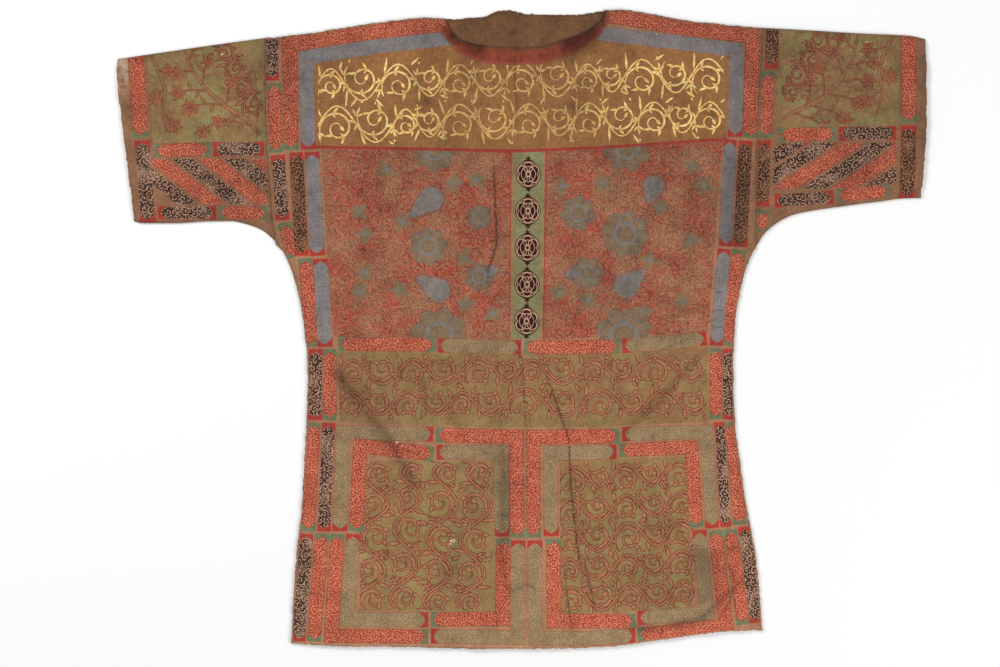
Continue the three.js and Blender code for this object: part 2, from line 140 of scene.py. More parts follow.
# Sharp creases on top of the folds: a route, half the breadth, the height of the pressed edge and how
# dark the painted shade along it is, with half the breadth of that shaded line in breadths of the crease.
Crease = namedtuple("Crease", "route width rise dark line", defaults=(0.36,))
CREASES = [Crease(*row) for row in (
    ([(-37, 240), (-37, 200), (-34, 142), (-34, 112), (-45, 80), (-47, 52)], 4.5, 1.2, 0.85),
    ([(25, -37), (41, -82), (52, -115), (64, -149), (66, -203), (71, -257), (78, -311), (84, -348)],
           4.5, 1.5, 0.9, 0.3),
    ([(57, -312), (60, -346), (66, -392), (72, -426)], 4.0, 1.1, 0.7, 0.3),
    ([(86, -318), (94, -352), (101, -388)], 4.0, 1.0, 0.7, 0.3),
    ([(-103, 414), (-88, 396), (-66, 384), (-40, 378)], 12, 0.4, 0.85, 0.9),
    ([(44, 380), (66, 386), (88, 398), (114, 442)], 15, 0.4, 0.95, 1.0),
    ([(-8, 378), (-9, 340), (-6, 300), (-8, 262)], 4.5, 0.8, 0.55),
    ([(-5, 6), (-3, -30), (3, -66), (4, -110), (6, -146)], 4.0, 0.8, 0.5),
    ([(-16, -134), (-18, -190), (-17, -262), (-21, -330), (-20, -372)], 4.5, 0.8, 0.5),
    ([(-206, -146), (-176, -152), (-146, -166), (-122, -174)], 4.5, 0.9, 0.45),
    ([(270, -308), (284, -326), (289, -346), (280, -368), (262, -396)], 5.0, 1.2, 0.6),
    ([(253, -3), (222, -14), (196, -24), (172, -36)], 4.5, 0.9, 0.4),
    ([(252, 35), (218, 22), (190, 16), (168, 15)], 4.0, 0.6, 0.3),
    ([(258, 49), (274, 51)], 2.6, 0.7, 0.6),
    ([(256, 25), (275, 26)], 2.6, 0.7, 0.6),
    ([(254, 4), (272, 3)], 2.6, 0.7, 0.5),
    ([(-30, -340), (-12, -352), (8, -344), (28, -354)], 4.0, 0.9, 0.5),
    ([(-18, -318), (4, -326), (22, -322)], 3.4, 0.6, 0.35),
    ([(-160, -186), (-148, -230), (-156, -276)], 4.5, 0.5, 0.2),
    ([(150, 190), (158, 120), (150, 60)], 5.0, 0.4, 0.12),
    ([(-212, 220), (-206, 140), (-214, 60)], 5.0, 0.4, 0.12),
    ([(-252, -60), (-200, -70), (-150, -64)], 4.5, 0.5, 0.16),
    ([(110, -196), (160, -240), (196, -300)], 5.0, 0.6, 0.2),
    ([(-492, 300), (-446, 286), (-404, 250)], 4.5, 0.6, 0.2),
    ([(-362, 380), (-356, 300), (-358, 210), (-352, 150)], 4.0, 0.7, 0.45),
    ([(352, 168), (396, 210), (430, 226)], 4.5, 0.6, 0.2),
    ([(470, 390), (462, 330), (474, 280)], 4.5, 0.5, 0.15),
    # broad soft folds with a painted shaded side, and broad patches of painted shade with hardly any rise
    ([(-275, -28), (-245, -61), (-211, -109), (-177, -149), (-148, -203), (-137, -232)], 8, 2.2, 0.5, 0.9),
    ([(268, -8), (228, -48), (187, -95), (140, -136), (126, -170)], 8, 2.0, 0.38, 0.8),
    ([(250, -2), (205, -10), (172, -8)], 6, 1.4, 0.3, 0.6),
    ([(258, 34), (222, 26), (196, 30)], 6, 1.2, 0.26, 0.6),
    ([(122, -403), (187, -403), (241, -390), (281, -354), (316, -321)], 7, 2.2, 0.58, 0.8),
    ([(228, -318), (266, -302), (303, -290)], 6, 1.5, 0.42, 0.8),
    ([(-25, -136), (-24, -200), (-26, -290), (-25, -352)], 7, 1.8, 0.5, 0.9),
    ([(-322, 384), (-319, 330), (-316, 276)], 16, 0.5, 0.22, 1.0),
    ([(292, 262), (288, 190), (281, 96)], 24, 0.2, 0.42, 1.0),
    ([(150, -306), (182, -342), (208, -376)], 34, 0.4, 0.3, 1.0),
    ([(244, -284), (247, -336), (238, -380)], 28, 0.2, 0.44, 1.0),
    ([(538, 396), (541, 290), (536, 174)], 13, 0.2, 0.24, 1.0),
    ([(294, 392), (292, 330), (290, 250)], 15, 0.2, 0.18, 1.0),
    ([(300, 100), (322, 128), (360, 158)], 15, 0.2, 0.16, 1.0),
    ([(-300, 96), (-330, 126), (-362, 142)], 13, 0.2, 0.14, 1.0),
    ([(-30, -362), (-34, -400), (-32, -425)], 6, 1.4, 0.28, 0.7),
    ([(-300, -414), (-200, -415), (-90, -416)], 16, 0.2, 0.12, 1.0),
    ([(-158, 362), (-136, 322), (-118, 294)], 8, 1.4, 0.38, 0.8),
    ([(104, 366), (72, 318), (66, 284)], 8, 1.2, 0.2, 0.8),
    ([(190, 366), (214, 318), (226, 270)], 9, 1.2, 0.16, 0.8),
    ([(-236, 366), (-224, 300), (-230, 256)], 9, 1.2, 0.16, 0.8),
    ([(232, 236), (226, 160), (232, 60)], 9, 1.3, 0.18, 0.8),
    ([(196, 232), (172, 150), (150, 96)], 9, 1.1, 0.14, 0.8),
    ([(-190, 236), (-196, 170), (-184, 90), (-192, 20)], 9, 1.1, 0.13, 0.8),
    ([(-82, 226), (-78, 150), (-90, 60), (-84, 0)], 9, 1.0, 0.12, 0.8),
    ([(-298, -280), (-300, -340), (-296, -420)], 6, 1.2, 0.24, 0.7),
    ([(-204, -240), (-180, -300), (-186, -372)], 8, 1.2, 0.14, 0.8),
    ([(-110, -210), (-84, -270), (-96, -350)], 8, 1.3, 0.18, 0.8),
    ([(172, -196), (190, -270), (180, -372)], 9, 1.2, 0.14, 0.8),
    ([(-440, 232), (-408, 192), (-384, 162)], 7, 1.4, 0.24, 0.7),
    ([(-520, 250), (-512, 214), (-508, 170)], 6, 1.0, 0.16, 0.8),
    ([(430, 190), (462, 214), (490, 246)], 8, 1.4, 0.2, 0.8),
    ([(500, 390), (512, 330), (504, 262)], 7, 1.0, 0.18, 0.8),
    ([(344, 396), (352, 320), (344, 230), (338, 170)], 6, 1.2, 0.24, 0.7),
)]

# Creases of the back, on its inside and its outside: only painted shade, as they have no rise and the back
# stays level.
BACK_CREASES = [Crease(*row) for row in (
    ([(-9, 452), (-11, 396), (-8, 340), (-12, 240)], 6, 0, 0.5, 0.5),
    ([(58, 424), (70, 398), (74, 360)], 8, 0, 0.16, 0.8),
    ([(-64, 420), (-50, 396), (-30, 376)], 9, 0, 0.14, 0.8),
    ([(-260, 60), (-160, 20), (-40, 34)], 9, 0, 0.25, 0.7),
    ([(250, 30), (150, -20), (60, -120)], 9, 0, 0.25, 0.7),
    ([(-180, -140), (-120, -260), (-140, -400)], 9, 0, 0.22, 0.7),
    ([(120, -200), (170, -300), (150, -420)], 9, 0, 0.22, 0.7),
    ([(6, -60), (2, -200), (8, -380)], 6, 0, 0.3, 0.6),
)]

# ---- the painted plan -------------------------------------------------------------------------------
# Bands of small ornament: paint, breadth and route, each with a pointed end at both ends of its route. A
# route with a corner is mitred there. Routes that start outside the cloth are cut off at its edge.

Band = namedtuple("Band", "paint breadth route")

FRONT_BANDS = [Band(*row) for row in (
    # round the shoulders and the neck
    ("red", 21.6, [(-310.5, 246), (-313, 384.5), (-277, 389.5), (-191, 403), (-78, 415)]),
    ("blue", 20.6, [(-287.5, 247), (-290, 367), (-191, 382.5), (-62, 396)]),
    ("red", 21.6, [(308.5, 263), (312, 396), (284, 399), (220, 406), (155, 418), (86, 428)]),
    ("blue", 20.6, [(288, 264), (290, 377), (220, 386), (66, 404)]),
    ("neck", 23, [(-108, 420), (-100, 408), (-90, 395), (-77, 382), (-61, 374), (-42.5, 369.5),
                  (-10, 368), (25.7, 369.2), (51.3, 376), (77, 388), (96, 403), (109, 426)]),
    # down the left side
    ("black", 19.6, [(-337.5, 410), (-337, 337)]),
    ("red", 19.6, [(-333.5, 331), (-331.5, 240)]),
    ("black", 19.6, [(-328.5, 234), (-322, 149)]),
    ("red", 18.6, [(-319.5, 142), (-311.5, 112), (-306, 97)]),
    ("dim_black", 19.6, [(-304, 235), (-296.5, 103)]),
    ("red", 19.6, [(-291.5, 92), (-286, 30), (-283.5, -20)]),
    ("blue", 20.6, [(-282.5, 235), (-275.5, 103)]),
    ("blue", 20.6, [(-271, 92), (-265, -21)]),
    ("black", 19.6, [(-277.5, -29), (-278.5, -121)]),
    ("red", 19.6, [(-258.5, -29), (-258.5, -121)]),
    # down the right side
    ("dim_black", 19.6, [(302, 250), (295, 117)]),
    ("red", 19.6, [(292.5, 102), (284, 40), (281.5, -19)]),
    ("blue", 18.6, [(281, 252), (275.5, 117)]),
    ("blue", 18.6, [(273, 104), (263, -18)]),
    ("red", 17.6, [(262, -29), (261.5, -120)]),
    ("black", 16.6, [(279, -29), (279, -120)]),
    # along the waist
    ("red", 19.6, [(-247, -19.5), (-119, -20.5)]),
    ("sage", 19.6, [(-111, -21.5), (-6, -24)]),
    ("red", 19.6, [(9, -24), (128, -23)]),
    ("sage", 19.6, [(140, -22), (200, -17.5), (250, -11.5)]),
    # round the left square
    ("red", 19.6, [(-280.5, -127), (-287.5, -271)]),
    ("black", 19.1, [(-260, -127), (-266.5, -271)]),
    ("sage", 20.6, [(-245, -271), (-240, -139), (-124, -141)]),
    ("red", 20.6, [(-223, -271), (-217.5, -157), (-170, -162), (-122, -168)]),
    ("black", 19.6, [(-290, -277), (-301, -421)]),
    ("red", 20.1, [(-269, -277), (-280, -421)]),
    ("red", 20.1, [(-248, -277), (-257, -413), (-132, -414)]),
    ("sage", 20.6, [(-226.5, -277), (-235, -391), (-132, -391.5)]),
    ("red", 20.6, [(-110, -142.5), (-6.5, -145), (-6, -279)]),
    ("sage", 20.6, [(-111, -165.5), (-27.5, -166), (-26, -275)]),
    ("red", 20.6, [(-25, -286), (-25.5, -390), (-116, -391)]),
    ("sage", 20.6, [(-116, -413.5), (-4.5, -415.5), (-4.5, -286)]),
    # round the right square
    ("red", 20.6, [(16, -279), (16, -145.5), (128, -144)]),
    ("sage", 20.6, [(40, -275), (39.5, -167), (122, -165)]),
    ("red", 20.6, [(43, -286), (44, -393), (150, -393)]),
    ("sage", 20.6, [(18, -286), (18.5, -416), (90, -417), (150, -412.5)]),
    ("sage", 19.6, [(140, -141), (249, -138), (257, -262)]),
    ("red", 19.6, [(138, -162.5), (229, -159), (236, -262)]),
    ("sage", 19.6, [(240, -275), (250, -382), (160, -389)]),
    ("red", 19.6, [(262, -277), (276, -399), (160, -411)]),
    ("red", 18.6, [(282, -274), (299, -398)]),
    ("black", 19.6, [(301.5, -268), (316.8, -396)]),
    ("black", 15.6, [(267, -126), (275.5, -262)]),
    ("red", 18.6, [(283, -126), (294.5, -261)]),
)]
LEFT_SLEEVE_BANDS = [Band(*row) for row in (
    ("red", 22.6, [(-522, 400), (-513.5, 262)]),
    ("black", 21.6, [(-511.5, 252), (-503.5, 144)]),
    ("red", 19.6, [(-496, 241), (-421, 243)]),
    ("black", 19.6, [(-414, 243), (-347, 244)]),
    ("black", 18.6, [(-491, 157.5), (-413, 157.5)]),
    ("red", 18.6, [(-407, 157.5), (-342, 157)]),
)]
RIGHT_SLEEVE_BANDS = [Band(*row) for row in (
    ("dim_black", 18.6, [(338.5, 420), (337.5, 356)]),
    ("red", 17.6, [(333, 344), (329.5, 262)]),
    ("dim_black", 17.6, [(328, 252), (325.5, 170)]),
    ("red", 15.6, [(326.5, 158), (325, 130)]),
    ("red", 21.6, [(522.5, 410), (522.5, 282)]),
    ("dim_black", 21.6, [(522, 272), (519.5, 176)]),
    ("red", 19.1, [(346, 262), (422, 264)]),
    ("black", 19.1, [(430, 264), (506, 265)]),
    ("black", 18.6, [(341, 173), (418, 178.5)]),
    ("red", 18.6, [(428, 180.5), (497, 187.5)]),
)]

# Slanting stripes on a sleeve: the box that they fill, the x where the first crosses the box's base, the
# way from one to the next, the slope in degrees and the paints from left to right.
Stripes = namedtuple("Stripes", "low high first_x step slope breadth paints")
LEFT_STRIPES = Stripes((-498, 169), (-342, 230), -450, 35.5, -38, 20.4,
                       ["black", "red", "black", "red", "black", "red"])
RIGHT_STRIPES = Stripes((339, 190), (505, 252), 275, 39.5, 33, 20,
                        ["black", "black", "red", "black", "red", "black"])

# Fields of one paint, as corner points.
Field = namedtuple("Field", "paint corners")
FRONT_FIELDS = [
    Field("chest", [(-271, 243), (-254, -10), (-17, -14), (-14, 240)]),
    Field("chest", [(32, 240), (28, -14), (252, -4), (271, 256)]),
    Field("yoke", [(-277, 246), (-8, 241), (276, 257), (281, 372), (118, 394), (0, 376), (-110, 390),
                   (-281, 362)]),
    Field("strip", [(-10, 240), (-12.5, -13), (25.5, -13), (30.5, 241)]),
    Field("olive", [(-249, -31), (251, -24), (254, -124), (100, -131), (-40, -132), (-246, -125)]),
    Field("olive", [(-206, -177), (-37, -177), (-36, -380), (-221, -380)]),
    Field("olive", [(51, -177), (221, -172), (232, -378), (54, -383)]),
]
# Thin red lines: a route and a breadth.
RED_LINES = [
    ([(-281, 246), (-140, 243.5), (-8, 240.5), (120, 246), (277, 257)], 4.2),
    ([(-14, 238), (-16.5, -12)], 1.6),
    ([(33.5, 239), (29.5, -12)], 1.6),
]

# Flowers of the chest: round ones, leaf-shaped drops with the point of each, and small open blooms.
Rosette = namedtuple("Rosette", "x y radius petals")
ROSETTES = [
    Rosette(-117, 242, 29, 8), Rosette(-126, 112, 26, 8), Rosette(-57, 151, 17, 7),
    Rosette(-57, 71, 19, 7), Rosette(-111, -9, 39, 8), Rosette(142, 246, 33, 8),
    Rosette(140, 129, 32, 8), Rosette(76, 157, 24, 7), Rosette(88, 76, 22, 7), Rosette(138, -9, 39, 8),
]
Drop = namedtuple("Drop", "x y tip_x tip_y radius")
DROPS = [
    Drop(-122, 176, -150, 152, 15.5), Drop(-112, 53, -141, 71, 15), Drop(178, 194, 171, 170, 13),
    Drop(141, 59, 166, 79, 15.5), Drop(-39, 79, -52, 70, 6), Drop(66, 75, 78, 74, 5.5),
]
BLOOMS = [
    (-183, 216), (-219, 159), (-210, 129), (-211, 77), (-218, 51), (-165, 54), (-92, 197), (-61, 202),
    (-161, 145), (-78, 96), (-76, 34), (-38, 21), (55, 193), (110, 197), (230, 220), (245, 195),
    (187, 165), (229, 121), (173, 94), (50, 50), (90, 40), (217, 38), (165, 23),
]
ROSETTE_SEED, BLOOM_SEED = 20, 60

# Pointed ovals down the centre strip, with half of their width and height.
Medallion = namedtuple("Medallion", "x y width height")
MEDALLIONS = [Medallion(9.2 - 0.6 * k, 209.5 - 49.6 * k, 17.2, 18.4) for k in range(5)]

# Places where the paint has come off: centre and half sizes.
WORN_SPOTS = [
    (-168, -152, 3.2, 1.8), (-161, -157, 1.5, 1.2), (-92.5, -285, 4.6, 3.0), (-96, -289, 2.0, 1.5),
    (182, 398, 2.0, 1.2), (-404, 371, 2.4, 1.2), (466, 388, 2.2, 1.3), (118, -352, 1.6, 1.0),
]

# Panels of scrolls: the box that holds them, their paint, the rows (start, end and seed) and the rows'
# measures: the stem's wave, a scroll's radius, half a stroke's breadth and the number of bays.
SCROLL_PANELS = [
    (((-274, 250), (274, 374)), "gold", [((-274, 332), (276, 342), 1), ((-274, 276), (274, 286), 2)],
     (22, 22, 1.9, 13)),
    (((-246, -122), (250, -34)), "stroke", [((-246, -57), (250, -54), 3), ((-246, -100), (252, -99), 4)],
     (17, 19, 2.7, 12)),
    (((-218, -378), (-36, -178)), "stroke",
     [((-205 + k * 44, -384), (-194 + k * 46, -176), 11 + k) for k in range(4)], (18, 20, 2.9, 5)),
    (((52, -382), (234, -178)), "stroke",
     [((48, -205 - k * 40), (236, -193 - k * 40), 15 + k) for k in range(5)], (16, 18, 2.8, 5)),
]

SLEEVE_SCROLL = (11, 15, 2.2, 4)         # measures of a sleeve's row of scrolls

# A sleeve's plan: the two x between which worn spots are its own, its field, the box that holds its
# branches, the branches, a row of scrolls (start, end and seed), its stripes and its bands. Each twig of a
# branch is the share of the way along it, the side that it leaves to, its reach and its petals.
Branch = namedtuple("Branch", "route breadth twigs seed")
SleevePlan = namedtuple("SleevePlan", "spots_between field box branches scroll stripes bands")
LEFT_PLAN = SleevePlan(
    spots_between=(-600, LEFT_ARMHOLE.top[0]),
    field=Field("leaf_green", [(-506, 380), (-497, 252), (-344, 254), (-347.5, 400)]),
    box=((-503, 256), (-349, 400)),
    branches=[
        Branch([(-352, 262), (-372, 284), (-398, 300), (-424, 322), (-446, 352), (-458, 388)], 3.6,
               [(0.1, 1, 46, 6), (0.24, 1, 56, 6), (0.4, 1, 46, 7), (0.56, 1, 40, 6), (0.72, 1, 34, 5),
                (0.2, -1, 34, 5), (0.36, -1, 36, 6), (0.6, -1, 34, 5), (0.82, -1, 26, 5)], 31),
        Branch([(-500, 368), (-488, 346), (-480, 320), (-484, 290), (-478, 266)], 2.8,
               [(0.2, 1, 26, 5), (0.42, -1, 20, 6), (0.7, 1, 26, 6)], 32),
    ],
    scroll=((-404, 384), (-356, 290), 35),
    stripes=LEFT_STRIPES,
    bands=LEFT_SLEEVE_BANDS,
)
RIGHT_PLAN = SleevePlan(
    spots_between=(RIGHT_ARMHOLE.top[0], 600),
    field=Field("leaf_green", [(347, 412), (346, 273), (509, 275), (509, 410)]),
    box=((350, 277), (506, 410)),
    branches=[
        Branch([(352, 284), (378, 298), (404, 310), (428, 334), (446, 362), (454, 398)], 3.6,
               [(0.1, -1, 46, 6), (0.24, -1, 52, 6), (0.4, -1, 44, 7), (0.56, -1, 40, 6), (0.72, -1, 32, 5),
                (0.2, 1, 36, 5), (0.38, 1, 40, 6), (0.62, 1, 34, 5), (0.84, 1, 26, 5)], 33),
        Branch([(504, 398), (490, 376), (482, 350), (486, 318), (478, 290)], 2.8,
               [(0.2, -1, 26, 5), (0.42, 1, 20, 6), (0.7, -1, 26, 6)], 34),
    ],
    scroll=((358, 314), (410, 400), 36),
    stripes=RIGHT_STRIPES,
    bands=RIGHT_SLEEVE_BANDS,
)

# What covers what where painted shapes overlap.
RANKS = {
    "chest": 1, "petal": 2, "petal_line": 3, "blue_paint": 4, "yoke": 5, "strip": 5, "olive": 5,
    "leaf_green": 5, "medallion": 6, "ink": 7, "gold": 8, "stroke": 8, "branch": 8, "blossom": 9,
    "red": 10, "black": 10, "dim_black": 10, "sage": 10, "blue": 10, "red_line": 11, "neck": 12, "worn": 13,
}


# ---- sizes and colours that a user may change -------------------------------------------------------

def paint(red, green, blue):
    """A colour in the shader's own scale from the usual 0 to 255 values."""
    return tuple(((c / 255 + 0.055) / 1.055) ** 2.4 if c > 10 else c / 255 / 12.92
                 for c in (red, green, blue))


def length(name, description, default):
    """A size in metres that a user may change."""
    return bpy.props.FloatProperty(
        name=name, description=description, default=default, min=0, unit="LENGTH")


def colour(name, description, default):
    """A colour that a user may change."""
    return bpy.props.FloatVectorProperty(
        name=name, description=description, default=default, size=3, min=0, max=1, subtype="COLOR")


class ShirtSizes(bpy.types.PropertyGroup):
    """Sizes of the cloth."""

    wall: length("Cloth thickness", "Thickness of the sized and painted cloth", 0.0012)
    seam_gap: length("Seam gap", "Clearance between two pieces at a seam and between two layers", 0.0003)
    loft: length("Loft", "How far the front stands off the back in its middle", 0.0011)
    lift_limit: length("Fold limit", "Height that the soft folds come near but don't pass", 0.0033)
    fade_width: length("Fade width", "Strip along a sewn edge where the folds die out", 0.046)
    crumple: length("Crumple", "Height of the small unevenness all over the cloth", 0.0013)
    fray: length("Fray", "Depth of the worn nicks along the cloth's edges", 0.0017)
    front_step: length("Mesh step", "Size of one mesh cell on the painted sides", 0.0062)
    plain_step: length("Plain mesh step", "Size of one mesh cell on the plain sides", 0.011)


def placed(name, data):
    """A new object in the scene."""
    added = bpy.data.objects.new(name, data)
    bpy.context.scene.collection.objects.link(added)
    return added


def in_mm(size_name):
    """One of the cloth's sizes in millimetres."""
    return getattr(bpy.context.scene.shirt_sizes, size_name) / MM


class ShirtColours(bpy.types.PropertyGroup):
    """Colours of the cloth and the paints."""

    ground: colour("Ground", "Bare cloth between the bands", paint(160, 114, 84))
    brown: colour("Brown", "Unpainted cloth", paint(122, 84, 55))
    cuff: colour("Cuff", "Unpainted cloth of the sleeves", paint(142, 102, 74))
    hem: colour("Hem", "Unpainted cloth at the hem", paint(169, 123, 92))
    red: colour("Red", "Ground of a red band", paint(181, 80, 57))
    reserve: colour("Reserve", "Pale strokes on a red band", paint(204, 142, 110))
    red_ink: colour("Red ink", "Strokes on a red band and outlines", paint(112, 40, 31))
    deep_red: colour("Deep red", "Ends of the black and the sage bands", paint(164, 54, 44))
    pink: colour("Pink tan", "Ground under black ink", paint(190, 150, 124))
    black: colour("Black", "Black ink", paint(44, 14, 6))
    sage: colour("Sage", "Ground of a sage band", paint(129, 114, 84))
    green: colour("Green", "Ends of the red bands", paint(104, 112, 82))
    blue: colour("Blue", "Blue-grey paint", paint(119, 115, 120))
    gold: colour("Gold", "Gold of the yoke's ornament", paint(248, 196, 112))
    yoke: colour("Yoke", "Ground of the yoke", paint(151, 104, 62))
    chest: colour("Chest", "Ground of the chest panels", paint(156, 112, 82))
    olive: colour("Olive", "Ground of the waist and of the squares", paint(138, 107, 69))
    strip: colour("Centre strip", "Green of the centre strip", paint(130, 126, 86))
    stroke: colour("Stroke", "Body of a broad outlined stroke", paint(158, 112, 80))
    petal: colour("Petal", "Petals of the chest flowers", paint(128, 105, 79))
    petal_line: colour("Petal outlines", "Grey-blue outlines of the chest flowers", paint(104, 92, 88))
    drop: colour("Drops", "Grey-blue drops and flower centres", paint(120, 112, 106))
    branch: colour("Branches", "Body of the sleeves' branches", paint(146, 104, 74))
    neck_red: colour("Neck red", "Red of the thin lines round the panels", paint(158, 60, 48))
    worn: colour("Worn", "Cloth where the paint has come off", paint(206, 182, 130))
    blossom: colour("Blossom", "Blossoms of the sleeves", paint(148, 92, 64))


# ---- shader expressions -----------------------------------------------------------------------------

class Value:
    """A shader socket that Python's operators work on: each one adds a Math node."""

    def __init__(self, finish, socket):
        self.finish = finish
        self.socket = socket

    def math(self, operation, *operands):
        """The result of a Math node on numbers or other values."""
        return self.finish.node("ShaderNodeMath", {"operation": operation}, dict(enumerate(operands)))

    def __add__(self, other):
        return self.math("ADD", self, other)

    __radd__ = __add__

    def __sub__(self, other):
        return self.math("SUBTRACT", self, other)

    def __rsub__(self, other):
        return self.math("SUBTRACT", other, self)

    def __mul__(self, other):
        return self.math("MULTIPLY", self, other)

    __rmul__ = __mul__

    def __truediv__(self, other):
        return self.math("DIVIDE", self, other)

    def __rtruediv__(self, other):
        return self.math("DIVIDE", other, self)

    def __pow__(self, other):
        return self.math("POWER", self, other)

    def __abs__(self):
        return self.math("ABSOLUTE", self)

    def __lt__(self, other):
        return self.math("LESS_THAN", self, other)

    def __gt__(self, other):
        return self.math("GREATER_THAN", self, other)

    def least(self, other):
        return self.math("MINIMUM", self, other)

    def most(self, other):
        return self.math("MAXIMUM", self, other)

    def fraction(self):
        return self.math("FRACT", self)

    def rise(self, low, high):
        """0 below low, 1 above high and a soft step between."""
        return self.finish.node("ShaderNodeMapRange", {"interpolation_type": "SMOOTHSTEP"},
                                {"Value": self, "From Min": low, "From Max": high})


class Finish:
    """One material while it is built."""

    def __init__(self, name):
        self.material = bpy.data.materials.new(name)
        self.material.use_nodes = True
        self.tree = self.material.node_tree
        self.tree.nodes.clear()
        self.colours = bpy.context.scene.shirt_colours
        self.object_place = self.node("ShaderNodeTexCoord", output="Object")

    def node(self, kind, settings=None, inputs=None, output=0):
        """Adds a node: its settings first, then the values or links of its sockets. Returns an output."""
        added = self.tree.nodes.new(kind)
        for name, setting in (settings or {}).items():
            setattr(added, name, setting)
        for key, value in (inputs or {}).items():
            if isinstance(value, Value):
                self.tree.links.new(value.socket, added.inputs[key])
            else:
                added.inputs[key].default_value = value
        return Value(self, added.outputs[output]) if added.outputs else None

    def colour(self, name):
        """One of the colours that a user may change."""
        return tuple(getattr(self.colours, name))

    def mix(self, first, second, factor):
        """Mixes two colours, each a tuple or a value."""
        colours = [c if isinstance(c, Value) else (*c[:3], 1.0) for c in (first, second)]
        return self.node("ShaderNodeMix", {"data_type": "RGBA"},
                         {0: factor, 6: colours[0], 7: colours[1]}, output=2)

    def scaled(self, colour_value, factor):
        """A colour made lighter or darker."""
        vector = colour_value if isinstance(colour_value, Value) else tuple(colour_value[:3])
        return self.node("ShaderNodeVectorMath", {"operation": "SCALE"}, {0: vector, "Scale": factor})

    def noise(self, size, detail=2.0, distortion=0.0, stretch=(1, 1, 1)):
        """Noise of about `size` metres a blotch, longer where a number in stretch is larger."""
        scaling = tuple(1 / (size * s) for s in stretch)
        vector = self.node("ShaderNodeVectorMath", {"operation": "MULTIPLY"},
                           {0: self.object_place, 1: scaling})
        return self.node("ShaderNodeTexNoise", {},
                         {"Vector": vector, "Scale": 1.0, "Detail": detail, "Distortion": distortion})

    def shaded(self, inputs):
        """The finished material."""
        shader = self.node("ShaderNodeBsdfPrincipled", {}, inputs)
        self.node("ShaderNodeOutputMaterial", {}, {0: shader})
        return self.material

    def stroke(self):
        """The way across a stroke from its middle, and half the stroke's breadth."""
        return self.map_pair(PLACE_MAP)[1], self.map_pair(SIZE_MAP)[1]

    def map_pair(self, map_name):
        """The two numbers of one of the cloth's own maps."""
        return self.parts(self.node("ShaderNodeUVMap", {"uv_map": map_name}))

    def spirals(self, cell, turns, wobble=0.5):
        """Coiled brush strokes, a coil in each cell: 1 on the middle of a stroke, 0 halfway between two."""
        place = self.object_place
        drift = self.node("ShaderNodeTexNoise", {}, {"Vector": place, "Scale": 0.7 / cell, "Detail": 1.0},
                          output=1)
        moved = self.node("ShaderNodeVectorMath", {"operation": "MULTIPLY_ADD"},
                          {0: drift, 1: (cell * wobble, cell * wobble, 0), 2: place})
        scaled_place = self.node("ShaderNodeVectorMath", {"operation": "MULTIPLY"},
                                 {0: moved, 1: (1 / cell, 1 / cell, 0)})
        centre = self.node("ShaderNodeTexVoronoi", {"voronoi_dimensions": "2D"},
                           {"Vector": scaled_place, "Scale": 1.0, "Randomness": 0.8}, output="Position")
        chance = Value(self, centre.socket.node.outputs["Color"])
        offset = self.node("ShaderNodeVectorMath", {"operation": "SUBTRACT"}, {0: scaled_place, 1: centre})
        away = self.node("ShaderNodeVectorMath", {"operation": "LENGTH"}, {0: offset}, output="Value")
        sideways, upward = self.parts(offset)
        hand, start = self.parts(chance)
        angle = upward.math("ARCTAN2", upward, sideways) / (2 * math.pi)
        phase = away * turns + angle * ((hand > 0.5) * 2 - 1) + start
        return abs(phase.fraction() - 0.5) * 2

    def parts(self, vector):
        """The first two numbers of a vector."""
        first = self.node("ShaderNodeSeparateXYZ", {}, {0: vector})
        return first, Value(self, first.socket.node.outputs[1])

    def curls(self, size, breadth, lines):
        """Small winding brush strokes, 1 on a stroke and 0 beside it."""
        field = self.noise(size, detail=1.0, distortion=0.9)
        across = abs((field * lines).fraction() - 0.5) * 2
        soft_edge = 0.22
        return 1 - across.rise(breadth - soft_edge, breadth + soft_edge)


SHADE_BY_HEIGHT = 0.46       # how much darker the cloth is for each metre towards the neck
CREASE_SHADE = 0.78          # how dark a crease of full darkness is
DIRT = 0.12                  # how dark the dirty spots are
RELIEF = 0.0009              # height of the threads in metres


